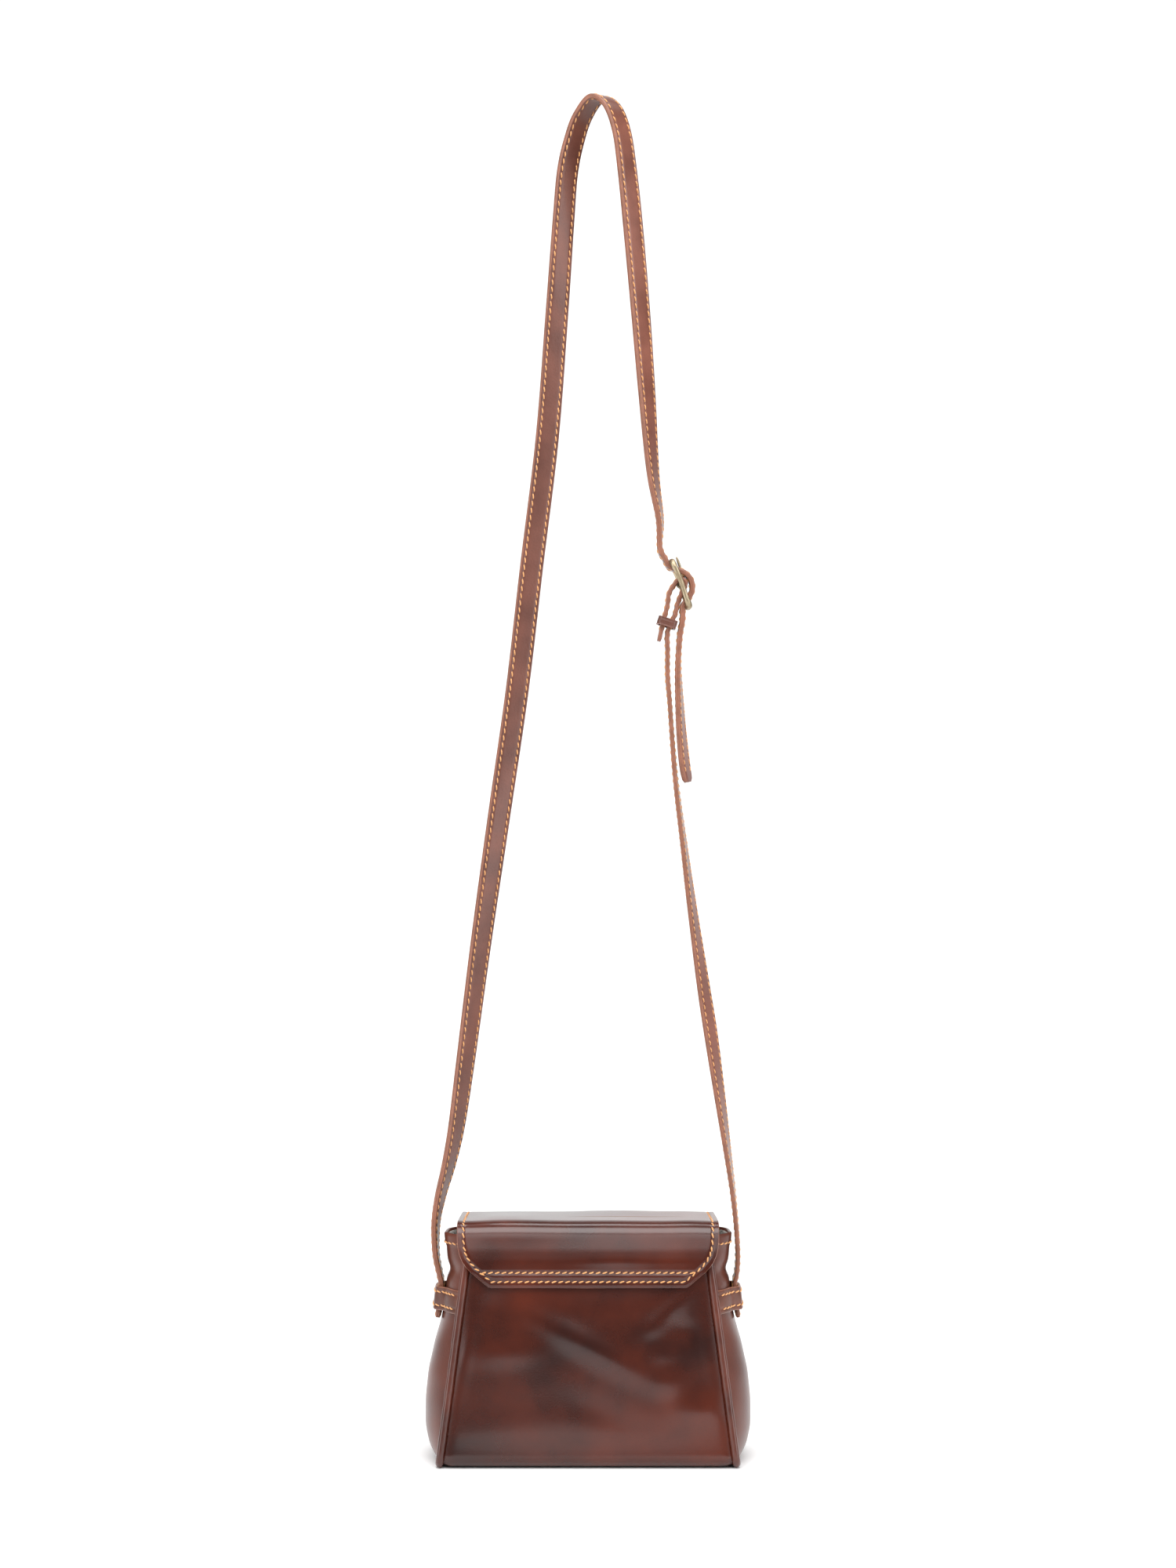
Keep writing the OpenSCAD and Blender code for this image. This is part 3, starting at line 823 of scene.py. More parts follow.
@dataclass
class Wrap:
    """The leather that runs down the rear, under the base and up the front in one sheet."""

    form: BodyForm
    wall: float = 2 * MM
    bend_r: float = 6 * MM
    step: float = 1.15 * MM
    columns: int = 120
    tuck: float = 1.6 * MM
    crown: float = 1.7 * MM
    groove: float = 2.1 * MM
    groove_w: float = 7.5 * MM
    cloth_side: float = 1.7 * MM
    cloth_low: float = 4.5 * MM

    def profile(self, inward: float, top: float) -> np.ndarray:
        """Draws the sheet's line in (y, z), from the rear mouth round the base to the front.

        Args:
            inward: distance inside the outer face.
            top: height of both ends.
        """
        form, r = self.form, self.bend_r
        z = np.linspace(top, 2 * r, 60)
        rear = np.stack([-form.rear_y(z), z], axis=1)
        foot = np.array([form.half_d(0.0), 0.9 * MM])
        bends = [rear[-1], foot * (-1, 1), foot, (form.half_d(2 * r), 2 * r)]
        corner = rounded(bends, (r, r), 0.15)
        front = np.stack([form.half_d(z[::-1]), z[::-1]], axis=1)
        line = np.vstack([rear[:-1], corner, front[1:]])
        count = int(lengths(line)[-1] / self.step)
        line = walk(line, np.linspace(0.0, lengths(line)[-1], count))
        ahead = unit(np.gradient(line, axis=0))
        return line + inward * np.stack([-ahead[:, 1], ahead[:, 0]], axis=1)

    def dents(self, x: np.ndarray, z: np.ndarray) -> np.ndarray:
        """Returns how far the rear leather stands out: a sum of turned bell curves.

        Each hill is centred at (x, z), has a width along and across its own axis, which is turned
        by an angle from +X, and a height.
        """
        hills = (
            (-2, 71, 46, 8, -28, 1.15), (-48, 93, 15, 11, 0, -0.8), (-46, 66, 20, 8, 4, 0.6),
            (-71, 66, 34, 5, 76, 0.8), (47, 90, 15, 6, 42, 0.9), (38, 79, 8, 7, 0, 0.5),
            (42, 65, 9, 7, 0, 0.6), (47, 50, 9, 8, 0, 0.6), (64, 33, 16, 9, 0, 0.9),
            (56, 78, 7, 7, 0, -0.6), (12, 92, 34, 10, 4, -0.6), (-22, 24, 60, 10, 3, 0.3),
            (10, 30, 26, 9, -20, -0.3), (70, 70, 5, 26, 8, 0.5))
        height = np.zeros(np.broadcast(x, z).shape)
        for cx, cz, long, wide, turn, tall in hills:
            dx, dz = x - cx * MM, z - cz * MM
            c, s = np.cos(np.radians(turn)), np.sin(np.radians(turn))
            height += tall * MM * np.exp(-(((dx * c + dz * s) / (long * MM)) ** 2
                                          + ((dz * c - dx * s) / (wide * MM)) ** 2))
        return height

    def height(self, depth: np.ndarray, x: np.ndarray, z: np.ndarray, edge: np.ndarray,
               u: np.ndarray) -> np.ndarray:
        """Returns how far the leather stands out, by dents and a crown over both panels.

        It stays calm beside the piping and under the flap. The front has the rear's dents,
        fainter and mirrored, and stays flat round the snap.

        Args:
            depth: places across the depth.
            x: places across the width.
            z: heights.
            edge: half the width at each height.
            u: places across the width, from -1 to 1.
        """
        above = ease(z, 4 * MM, 22 * MM)
        snap = np.mean(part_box("snap_socket"), axis=0)
        away = np.hypot(x - snap[0], z - snap[2])
        rear = ease(-depth, 10 * MM, 30 * MM) * above
        front = ease(depth, 10 * MM, 30 * MM) * above * ease(away, 9 * MM, 30 * MM)
        calm = ease(edge - np.abs(x), 2 * MM, 10 * MM) * (1 - ease(z, 0.098, 0.118))
        dents = (rear * calm * self.dents(x, z)
                 + front * calm * 0.45 * self.dents(-x * 0.9, z * 0.96))
        crown = self.crown * (rear + front) * calm * np.cos(np.pi / 2 * u) * np.sin(
            np.pi * np.clip(z / 0.115, 0, 1))
        return dents + crown

    def build(self) -> Shape:
        """Builds both sides: the profile carried across the width, with dents and sunk edges.

        Across the width x = edge_x(z) * u. The outer side sinks by a square law over the last
        few millimetres before the piping, which makes the groove beside it.
        """
        form = self.form
        line = self.profile(0.0, form.body_h)
        ahead = unit(np.gradient(line, axis=0))
        out = np.stack([ahead[:, 1], -ahead[:, 0]], axis=1)
        u = np.sin(np.linspace(-np.pi / 2, np.pi / 2, self.columns))
        u = 0.35 * u + 0.65 * np.linspace(-1, 1, self.columns)
        edge = form.edge_x(np.maximum(line[:, 1], 0.0))[:, None] + self.tuck
        x = edge * u[None]
        z = np.broadcast_to(line[:, 1:], x.shape)
        height = self.height(line[:, :1], x, z, edge, u[None])
        sink = self.groove * np.clip(1 - (edge - np.abs(x)) / self.groove_w, 0.0, 1.0) ** 2
        base = 0.6 * MM * ease(np.abs(line[:, :1]) * -1, -34 * MM, -20 * MM) * (z < 3 * MM)
        return slab(*(
            np.stack([x, line[:, :1] + out[:, :1] * lift, z + out[:, 1:] * lift], axis=-1)
            for lift in (height - sink - base, 0.3 * height - self.wall - 0.15 * sink)))

    def lining(self, gap: float = 3.1 * MM, cloth: float = 0.6 * MM) -> tuple[Shape, float, float]:
        """Builds the cloth inside the wrap.

        Args:
            gap: distance from the outer face to the cloth.
            cloth: its thickness.

        Returns:
            The shape, and the cloth's flat width and length.
        """
        form = self.form
        top = form.body_h - 2 * MM
        near, far = self.profile(gap, top), self.profile(gap + cloth, top)
        for line in (near, far):
            line[:, 1] = np.maximum(line[:, 1], self.cloth_low + (cloth if line is far else 0.0))
        u = np.linspace(-1, 1, 60)
        grids = []
        for line in (near, far):
            x = (form.edge_x(near[:, 1]) - self.cloth_side)[:, None] * u[None]
            ripple = 0.15 * MM * np.sin(x / (5 * MM) + line[:, 1:] * 90)
            grids.append(np.stack([x, np.broadcast_to(line[:, :1], x.shape) + ripple * 0.5,
                                   np.broadcast_to(line[:, 1:], x.shape)], axis=-1))
        return slab(*grids, steps=3, kinds=(0, 0, 0)), 2 * form.edge_x(0.0), lengths(near)[-1]

    def mouth_seam(self) -> Shape:
        """Sews one row of stitches below the front mouth."""
        form = self.form
        z = form.body_h - 4 * MM
        x = np.linspace(-form.edge_x(z) + 5 * MM, form.edge_x(z) - 5 * MM, 60)
        line = np.stack([x, np.full_like(x, form.half_d(z)), np.full_like(x, z)], axis=1)
        lean = np.arctan2(form.base_d - form.mouth_d, 2 * form.body_h)
        up = np.broadcast_to([0.0, np.cos(lean), np.sin(lean)], line.shape)
        return seam(line, up, 3.9 * MM, 3.1 * MM, 0.42 * MM)

    def dress(self) -> None:
        """Makes the wrap, its lining and the seam at the mouth."""
        wrap = make("body_wrap", self.build(), "body_leather", Finishes.PANEL, Finishes.UNDERSIDE,
                    Finishes.EDGE)
        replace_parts(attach(wrap, "purse"), "rear_panel", "front_panel", "base_panel")
        shape, width, length = self.lining()
        cloth = make("body_lining", shape, "lining_cloth", Finishes.CLOTH)
        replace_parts(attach(cloth, "purse"), "lining_rear", "lining_front", "lining_base")
        halves = self.form.edge_x(self.profile(0, self.form.body_h)[:, 1])
        area = float(length * 2 * (halves.mean() - self.cloth_side))
        row = make("mouth_stitches", self.mouth_seam(), "body_leather", Finishes.THREAD)
        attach(row, "purse")


class Hand(Enum):
    """Which side of the purse a gusset closes."""

    LEFT = "left"
    RIGHT = "right"


@dataclass
class Gusset:
    """One soft side: its leather, its lining, its piping and the band that holds the strap.

    Built at -X; the right one is its mirror. The depth runs by f from -1 at the rear seam to 1
    at the front seam.
    """

    form: BodyForm
    hand: Hand = Hand.LEFT
    wall: float = 1.9 * MM
    top: float = 131 * MM
    cloth_low: float = 7 * MM
    cloth_top: float = 0.1302
    cloth_gap: float = 2.1 * MM
    cloth_share: float = 0.955
    thread_r: float = 0.45 * MM
    thread_l: float = 3.2 * MM
    pitch: float = 3.9 * MM
    slant: float = -16.0
    crease: float = 1.6 * MM
    hem: float = 6 * MM
    band_low: float = 87.6 * MM
    band_high: float = 100.2 * MM
    band_t: float = 1.5 * MM
    band_rise: float = 4.4 * MM
    heights: tuple = (2.1, 4.6, 7, 10, 20, 35, 52, 68, 80, 90, 100, 112, 122, 131)
    reaches: tuple = (86.4, 89.4, 91.4, 93, 95.2, 95.2, 93.5, 90, 86.2, 84.2, 83.2, 82, 82.6, 84)

    def reach(self, z: np.ndarray) -> np.ndarray:
        """Returns the half width in the middle of the depth: the profile, smoothed by a bell."""
        fine = np.arange(2.1, 131.05, 0.5)
        value = np.interp(fine, self.heights, self.reaches)
        kernel = bell(np.arange(-12, 13) * 0.5, 0.0, 3.0)
        padded = np.pad(value, 12, mode="reflect", reflect_type="odd")
        value = np.convolve(padded, kernel / kernel.sum(), mode="valid")
        return np.interp(z / MM, fine, value) * MM

    def surface(self, z: np.ndarray, f: np.ndarray, out: float = 0.0) -> np.ndarray:
        """Returns points of the outer face, moved out by a distance.

        x = edge + (reach - edge) * (1 - |f|^2.4), less two creases: one level across the waist
        above the band, and shallow ones that fan out of it.

        Args:
            z: heights.
            f: places across the depth.
            out: distance outwards along X.
        """
        form = self.form
        edge = form.piping_x(z)
        rise = 1 - np.abs(f) ** 2.4
        x = edge + (self.reach(z) - edge) * rise
        waist = self.crease * bell(z, 0.1105, 0.0042) * rise
        fan = 0.45 * MM * np.sin(f * 6.0 + z * 80.0) * ease(z, 0.03, 0.12) * rise
        fan = fan * (1 - bell(z, 0.094, 0.012)) - 0.3 * MM * rise
        fold = self.top - self.hem
        hem = 0.5 * MM * ease(z, fold - 0.6 * MM, fold + 0.6 * MM)
        y = np.where(f < 0, f * form.seam_y(z, -1.0), f * form.seam_y(z, 1.0))
        return np.stack([-(x - waist + fan + hem * rise + out), y, z], axis=-1)

    def grid(self, low: float, high: float, steps: float = 1.0 * MM, columns: int = 74) -> tuple:
        """Returns heights and depth places of a grid between two heights."""
        z = np.linspace(low, high, int((high - low) / steps))[:, None]
        f = np.sin(np.linspace(-np.pi / 2, np.pi / 2, columns))[None] * 0.4
        f = f + 0.6 * np.linspace(-1, 1, columns)[None]
        return np.broadcast_arrays(z, f)

    def leather(self) -> Shape:
        """Builds the gusset's wall."""
        z, f = self.grid(self.form.piping_r, self.top)
        return slab(self.surface(z, f), self.surface(z, f * 0.985, -self.wall), bulge=0.5,
                    kinds=(0, 1, 0))

    def cloth(self, thick: float = 0.6 * MM) -> Shape:
        """Builds the lining inside the wall."""
        z, f = self.grid(self.cloth_low, self.cloth_top, 1.6 * MM, 48)
        f = f * self.cloth_share
        near, far = self.surface(z, f, -self.cloth_gap), self.surface(z, f, -self.cloth_gap - thick)
        return slab(near, far, steps=3, kinds=(0, 0, 0))

    def declare(self) -> None:
        z, f = self.grid(self.cloth_low, self.cloth_top)
        sheet = self.surface(z, f * self.cloth_share, -self.cloth_gap)

    def piping(self) -> Shape:
        """Carries the rolled edge down the rear, under the gusset and up the front."""
        form, r = self.form, self.form.corner_r + self.form.piping_r
        z = np.linspace(form.body_h - MM, r, 90)
        turn = np.linspace(0, np.pi / 2, 12)[1:]
        low = form.piping_r + form.corner_r * (1 - np.sin(turn))
        heights = np.concatenate([z, low])
        rear, front = (
            np.stack([-form.piping_x(heights), side * form.seam_y(heights, side), heights], axis=1)
            for side in (-1.0, 1.0))
        under = np.linspace(rear[-1], front[-1], 40)[1:-1]
        path = np.vstack([rear, under, front[::-1]])
        at = lengths(path)
        pinch = 1 + 0.018 * np.sin(at / (2.3 * MM)) + 0.012 * np.sin(at / (0.9 * MM))
        return tube(path, form.piping_r * pinch, (1, 0, 0), 18)

    def band_surface(self, z: np.ndarray, f: np.ndarray, out: float) -> np.ndarray:
        """Returns points of the band: the gusset's face, raised over the strap by a smooth step."""
        y = self.surface(z, f)[..., 1]
        step = ease(15 * MM - np.abs(y), 0.0, 6.5 * MM)
        share = (z - self.band_low) / (self.band_high - self.band_low)
        rounding = 0.25 * MM * (1 - (share * 2 - 1) ** 2)
        return self.surface(z, f, 0.3 * MM + self.band_rise * step + rounding + out)

    def band(self) -> Shape:
        """Builds the band's wall, with a groove under each row of stitches."""
        z, f = self.grid(self.band_low, self.band_high, 0.45 * MM, 120)
        f = f * 0.985
        sunk = sum(0.25 * MM * bell(z, row, 0.8 * MM) for row in self.rows())
        return slab(self.band_surface(z, f, self.band_t - sunk), self.band_surface(z, f, 0.0))

    def rows(self) -> tuple:
        """Returns the heights of the band's two rows of stitches."""
        return self.band_low + 2.4 * MM, self.band_high - 2.4 * MM

    def threads(self) -> Shape:
        """Sews both rows of the band and the row of the hem."""
        f = np.linspace(-0.95, 0.95, 160)
        hem_row = self.top - self.hem + 1.2 * MM
        plan = [(self.band_surface, row, 0.95, self.band_t) for row in self.rows()]
        plan.append((self.surface, hem_row, 0.9, 0.05 * MM))
        sewn = []
        for face, z, end, out in plan:
            heights = np.full_like(f, z)
            line = face(heights, f * end, out)
            rise = face(heights + MM, f * end, out) - line
            up = unit(np.cross(rise, np.gradient(line, axis=0)))
            up = up * np.sign(-up[:, :1])
            sewn.append(seam(line, up, self.pitch, self.thread_l, self.thread_r, self.slant))
        return joined(sewn)

    def dress(self) -> None:
        """Makes the pieces of this side."""
        plan = (
            ("gusset", "gusset", self.leather(), "gusset_leather",
             (Finishes.GUSSET, Finishes.UNDERSIDE)),
            ("gusset_lining", "lining_gusset", self.cloth(), "lining_cloth", (Finishes.CLOTH,)),
            ("piping", "piping", self.piping(), "piping_leather", (Finishes.PIPING,)),
            ("anchor_band", "anchor_band", self.band(), "strap_leather",
             (Finishes.KEEPER, Finishes.UNDERSIDE, Finishes.EDGE)),
            ("gusset_stitches", None, self.threads(), "gusset_leather", (Finishes.THREAD,)))
        for name, node, shape, slot, finishes in plan:
            shape = shape.mirrored() if self.hand is Hand.RIGHT else shape
            piece = make(f"{name}_piece_{self.hand.value}", shape, slot, *finishes)
            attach(piece, "purse")
            if node:
                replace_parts(piece, f"{node}_{self.hand.value}")
            if name == "gusset_lining":
                self.declare()


# ---------------------------------------------------------------------------- flap


@dataclass
class FlapHalf:
    """Half of the flap, from its low edge over one fold to the middle of the top.

    Distances t run from the low edge along the middle of the two layers, and x across. In
    millimetres: corners are the bent line's corners (y, z) and folds their radii; outline is the
    side's corners (t, half width), ending at end_half, and round_off their radii.
    """

    name: str
    corners: tuple
    outline: tuple
    round_off: tuple
    folds: tuple
    end_half: float
    facing: float
    bodies: tuple
    bend: tuple
    nodes: tuple
    layer: float = 1.42 * MM
    inset: float = 3.4 * MM
    row_gap: float = 5.2 * MM
    pitch: float = 3.9 * MM
    thread_l: float = 3.35 * MM
    thread_r: float = 0.45 * MM
    slant: float = 20.0
    fine: float = 0.45 * MM
    wide: float = 1.5 * MM

    def __post_init__(self) -> None:
        """Works out the bent line in (y, z) and the side of the outline in (t, half width)."""
        line = rounded(np.array(self.corners) * MM, [r * MM for r in self.folds], 0.06)
        self.total = float(lengths(line)[-1])
        self.line = walk(line, np.linspace(0.0, self.total, 400))
        ahead = unit(np.gradient(self.line, axis=0))
        self.normal = self.facing * np.stack([-ahead[:, 1], ahead[:, 0]], axis=1)
        self.travelled = lengths(self.line)
        side = np.array([(0.0, 0.0), *self.outline, (self.total / MM, self.end_half)]) * MM
        self.side_corners = side
        self.side = rounded(side, [r * MM for r in self.round_off], 0.12)

    def half_width(self, t: np.ndarray) -> np.ndarray:
        """Returns half the width of the flap at each distance."""
        return np.interp(t, self.side[:, 0], self.side[:, 1])

    def locate(self, t: np.ndarray, x: np.ndarray, out: np.ndarray | float) -> np.ndarray:
        """Returns points at distance t, place x and height out above the middle of the layers."""
        y, z, ny, nz = (np.interp(t, self.travelled, column)
                        for column in (*self.line.T, *self.normal.T))
        return np.stack([x + 0 * t, y + ny * out, z + nz * out], axis=-1)

    def stitch_line(self, distance: float) -> np.ndarray:
        """Returns half the outline moved inwards, as (t, half width), middle of the edge first."""
        corners = inset(self.side_corners, -distance)
        corners[0, 1] = 0.0
        corners[-1, 0] = self.total
        line = rounded(corners, [max(r - 3.0, 1.5) * MM for r in self.round_off], 0.2)
        return walk(line, np.linspace(0.0, lengths(line)[-1], int(lengths(line)[-1] / (0.7 * MM))))

    def rows(self) -> tuple:
        """Returns the outline's row and the straight row above it, both in (t, x)."""
        half = self.stitch_line(self.inset)
        whole = np.vstack([half[::-1] * (1, -1), half[1:]])
        reach = np.interp(self.inset + self.row_gap, half[:, 0], half[:, 1])
        x = np.linspace(-reach, reach, 160)
        return whole, np.stack([np.full_like(x, self.inset + self.row_gap), x], axis=1)

    def height(self, t: np.ndarray, x: np.ndarray) -> np.ndarray:
        """Returns how far the outer leather stands above its even thickness.

        It sinks along each row of stitches, swells between the two rows in small wrinkles, and
        swells a little where nothing holds it down.
        """
        _, straight = self.rows()
        places = np.stack([t, np.abs(x)], axis=-1)
        half = self.stitch_line(self.inset)
        groove = np.maximum(nearness(places, half, 0.95 * MM),
                            bell(t, straight[0, 0], 0.9 * MM) * (np.abs(x) < straight[-1, 1] + MM))
        channel = bell(t, self.inset + self.row_gap / 2, self.row_gap * 0.36)
        channel = channel * ease(self.half_width(t) - np.abs(x), 5 * MM, 9 * MM)
        wrinkle = 0.10 * np.sin(2 * np.pi * x / self.pitch) + 0.07 * np.sin(x / (2.9 * MM))
        free = ease(t, self.inset + self.row_gap, self.inset + self.row_gap + 8 * MM)
        free = free * ease(self.half_width(t) - np.abs(x), 4 * MM, 22 * MM)
        waves = (0.28 * np.sin(x / (23 * MM) + 0.6) * np.sin(t / (11 * MM))
                 + 0.14 * np.sin(x / (9 * MM)))
        return MM * (channel * (0.34 + wrinkle) - 0.42 * groove + free * (0.35 + waves))

    def grids(self, steps: int) -> tuple:
        """Returns distances t and places x on a grid that is fine near the edges and the rows."""
        fine, wide = self.fine, self.wide
        near = self.inset + self.row_gap + 3 * MM
        t = np.concatenate([np.arange(0, near, fine), np.linspace(near, self.total, int(
            (self.total - near) / wide))])
        t[1:3] = fine * 0.4, fine * 0.9
        half = self.half_width(t)[:, None]
        steep = np.sqrt(1 + np.minimum(np.gradient(half[:, 0], t), 1.2) ** 2)[:, None]
        edge = np.arange(0, 7 * MM, fine)[None] * steep
        middle = half - edge[:, -1:] - wide
        inner = middle * np.linspace(1, -1, steps)[None]
        x = np.hstack([half - edge, inner, -(half - edge)[:, ::-1]])
        return np.broadcast_arrays(t[:, None], x)

    def threads(self) -> Shape:
        """Sews both rows into the outer leather."""
        sewn = []
        for t, x in (row.T for row in self.rows()):
            line = self.locate(t, x, self.layer + self.height(t, x))
            up = unit(self.locate(t, x, 1.0) - self.locate(t, x, 0.0))
            sewn.append(seam(line, up, self.pitch, self.thread_l, self.thread_r,
                             self.slant * self.facing))
        return joined(sewn)

    def dress(self) -> None:
        """Makes the outer leather, the underside and the threads."""
        t, x = self.grids(80)
        swell, glue, bulge = self.height(t, x), 0.02 * MM, 0.22
        upper = slab(self.locate(t, x, self.layer + swell), self.locate(t, x, glue), bulge)
        lower = slab(self.locate(t, x, -glue), self.locate(t, x, -self.layer + 0.2 * swell), bulge)
        plan = (
            ("leather", upper, "flap_leather", Finishes.PANEL, self.nodes[::2]),
            ("underside", lower, "flap_underside", Finishes.UNDERSIDE, self.nodes[1::2]))
        pieces = []
        for part, shape, slot, finish, nodes in plan:
            piece = make(f"{self.name}_{part}", shape, slot, finish, Finishes.UNDERSIDE,
                         Finishes.EDGE)
            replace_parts(piece, *nodes)
            pieces.append(piece)
        pieces.append(make(f"{self.name}_stitches", self.threads(), "flap_leather",
                           Finishes.THREAD))
        for piece in pieces:
            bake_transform(piece)


def flap_halves(form: BodyForm) -> tuple:
    """Returns the sewn half and the closing half of the flap.

    Args:
        form: the body that the sewn half lies on.
    """
    fold_y, fold_z, drop, lean = 26.4, 138.4, 85.0, np.radians(10.3)
    low = 103.0
    ys = [-(form.rear_y(np.array(z * MM)) / MM + 1.75) for z in (low, 115.0)]
    sewn = FlapHalf(
        "flap_back",
        corners=((ys[0], low), (ys[1] - 1.6, 115.0), (-fold_y + 3.0, fold_z), (0.0, fold_z)),
        folds=(60.0, 9.0),
        outline=((0, 57.0), (12.5, 71.8), (22, 75.2), (36, 75.5)),
        round_off=(4.0, 22.0, 30.0, 30.0), end_half=75.0, facing=1.0,
        bodies=("purse", "flap_top"), bend=((0, -0.0275, 0.136), (0, -0.023, 0.140)),
        nodes=("flap_rear", "flap_rear_lining", "flap_top", "flap_top_lining"))
    closing = FlapHalf(
        "flap_front",
        corners=((fold_y + drop * np.sin(lean), fold_z - drop * np.cos(lean)),
                 (fold_y, fold_z), (0.0, fold_z)),
        folds=(5.0,),
        outline=((0, 49.5), (13, 62.5), (23, 65.8), (61, 68.4), (75, 71.6), (85, 74)),
        round_off=(4.0, 16.0, 20.0, 30.0, 20.0, 20.0), end_half=75.0, facing=-1.0,
        bodies=("flap_top", "flap_front"), bend=((0, 0.024, 0.139), (0, 0.027, 0.136)),
        nodes=("flap_front", "flap_front_lining"))
    return sewn, closing


# ---------------------------------------------------------------------------- strap


class Face(Enum):
    """Which broad face of the strap a row of threads lies on."""

    OUTER = 1.0
    BACK = -1.0


@dataclass
class Strap:
    """One leg of the strap: two layers sewn together, with painted edges.

    Each stop of the route has a place in millimetres and the angle of the width from +Y
    towards +X. The leather has a ring of points about every spacing millimetres.
    """

    name: str
    route: Sequence
    thick: float
    nodes: tuple
    taper: float = 16 * MM
    narrow: float = 3.6 * MM
    width: float = 14 * MM
    inset: float = 2.1 * MM
    pitch: float = 4.2 * MM
    thread_l: float = 3.3 * MM
    thread_r: float = 0.4 * MM
    slant: float = 14.0
    spacing: float = 1.9

    def __post_init__(self) -> None:
        """Works out the places, the directions across and outwards, and the half widths."""
        stops = np.array([[*place, turn] for place, turn in self.route], float)
        curve = catmull(stops, 12)
        travelled = lengths(curve[:, :3])
        count = int(travelled[-1] / self.spacing)
        curve = walk(curve, np.linspace(0.0, travelled[-1], count), travelled)
        self.path = curve[:, :3] * MM
        ahead = unit(np.gradient(self.path, axis=0))
        turn = np.radians(curve[:, 3])
        flat = np.stack([np.sin(turn), np.cos(turn), np.zeros_like(turn)], axis=1)
        self.across = unit(flat - ahead * np.sum(flat * ahead, axis=1, keepdims=True))
        self.out = np.cross(ahead, self.across)
        left = lengths(self.path)[-1] - lengths(self.path)
        tip = self.narrow * (1 - np.sqrt(np.clip(1 - (1 - left / self.taper) ** 2, 0.0, 1.0)))
        self.half = self.width / 2 - np.where(left < self.taper, tip, 0.0)

    def section(self) -> tuple:
        """Returns the section's points at half width 1 and thickness 1, and each side's finish.

        Both faces are crowned and sink at the rows of stitches. The two edges are round, with a
        notch where the layers meet.
        """
        half, t = self.width / 2, self.thick / 2
        near_edge = np.linspace(0.5, 0.94, 13)
        x = half * np.concatenate([-near_edge[::-1], np.linspace(-0.4, 0.4, 5), near_edge])
        row = half - self.inset
        face = t + 0.10 * MM * (1 - (x / half) ** 2) - 0.26 * MM * bell(np.abs(x), row, 0.62 * MM)
        face = face - 0.25 * MM * ease(np.abs(x), half - 1.0 * MM, half)
        turn = np.radians(np.array([60, 35, 10]))
        edge_u = half - 0.3 * MM + 0.3 * MM * np.cos(turn)
        edge_v = t * np.array([0.72, 0.42, 0.10])
        notch = np.array([[half - 0.16 * MM, 0.0]])
        right = np.vstack([np.stack([edge_u, edge_v], 1), notch,
                           np.stack([edge_u, -edge_v], 1)[::-1]])
        back = np.stack([x[::-1], -face[::-1]], axis=1)
        front = np.stack([x, face], axis=1)
        points = np.vstack([front, right, back, -right])
        kinds = np.array([0] * (len(x) - 1) + [2] * 8 + [1] * (len(x) - 1) + [2] * 8)
        return points, kinds

    def shape(self) -> Shape:
        """Builds the leather, with both ends rounded off."""
        points, kinds = self.section()
        scale = (self.half / (self.width / 2))[:, None, None]
        sections = points[None] * np.concatenate([scale, np.ones_like(scale)], axis=2)
        end = np.minimum(np.arange(len(self.path)), np.arange(len(self.path))[::-1])
        soft = np.where(end == 0, 0.82, 1.0)[:, None, None]
        return sweep(self.path, self.across, self.out, sections * soft, kinds)

    def threads(self) -> Shape:
        """Sews two rows, which show on both faces."""
        sewn = []
        travelled = lengths(self.path)
        keep = travelled < travelled[-1] - 4 * MM
        for face in Face:
            for edge in (-1.0, 1.0):
                offset = (self.half - self.inset)[:, None] * edge
                height = face.value * (self.thick / 2 - 0.12 * MM)
                line = (self.path + self.across * offset + self.out * height)[keep]
                up = (self.out * face.value)[keep]
                sewn.append(seam(line, up, self.pitch, self.thread_l, self.thread_r, self.slant))
        return joined(sewn)

    def dress(self) -> None:
        """Makes the leg and its threads."""
        leg = make(f"{self.name}_leather", self.shape(), "strap_leather", Finishes.STRAP,
                   Finishes.UNDERSIDE, Finishes.EDGE)
        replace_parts(leg, *self.nodes)
        row = make(f"{self.name}_stitches", self.threads(), "strap_leather", Finishes.THREAD)
        for piece in (leg, row):
            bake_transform(piece)


# ---------------------------------------------------------------------------- routes of the strap


BUCKLE_MIDDLE = (54.5, 0.0, 510.0)
BUCKLE_LEAN = 19.0


def at_buckle(out: float, along: float, turn: float) -> tuple:
    """Returns a stop given in the buckle's axes: out of the strap and along the buckle."""
    c, s = np.cos(np.radians(BUCKLE_LEAN)), np.sin(np.radians(BUCKLE_LEAN))
    x, y, z = BUCKLE_MIDDLE
    return (x + out * c - along * s, y, z + out * s + along * c), turn


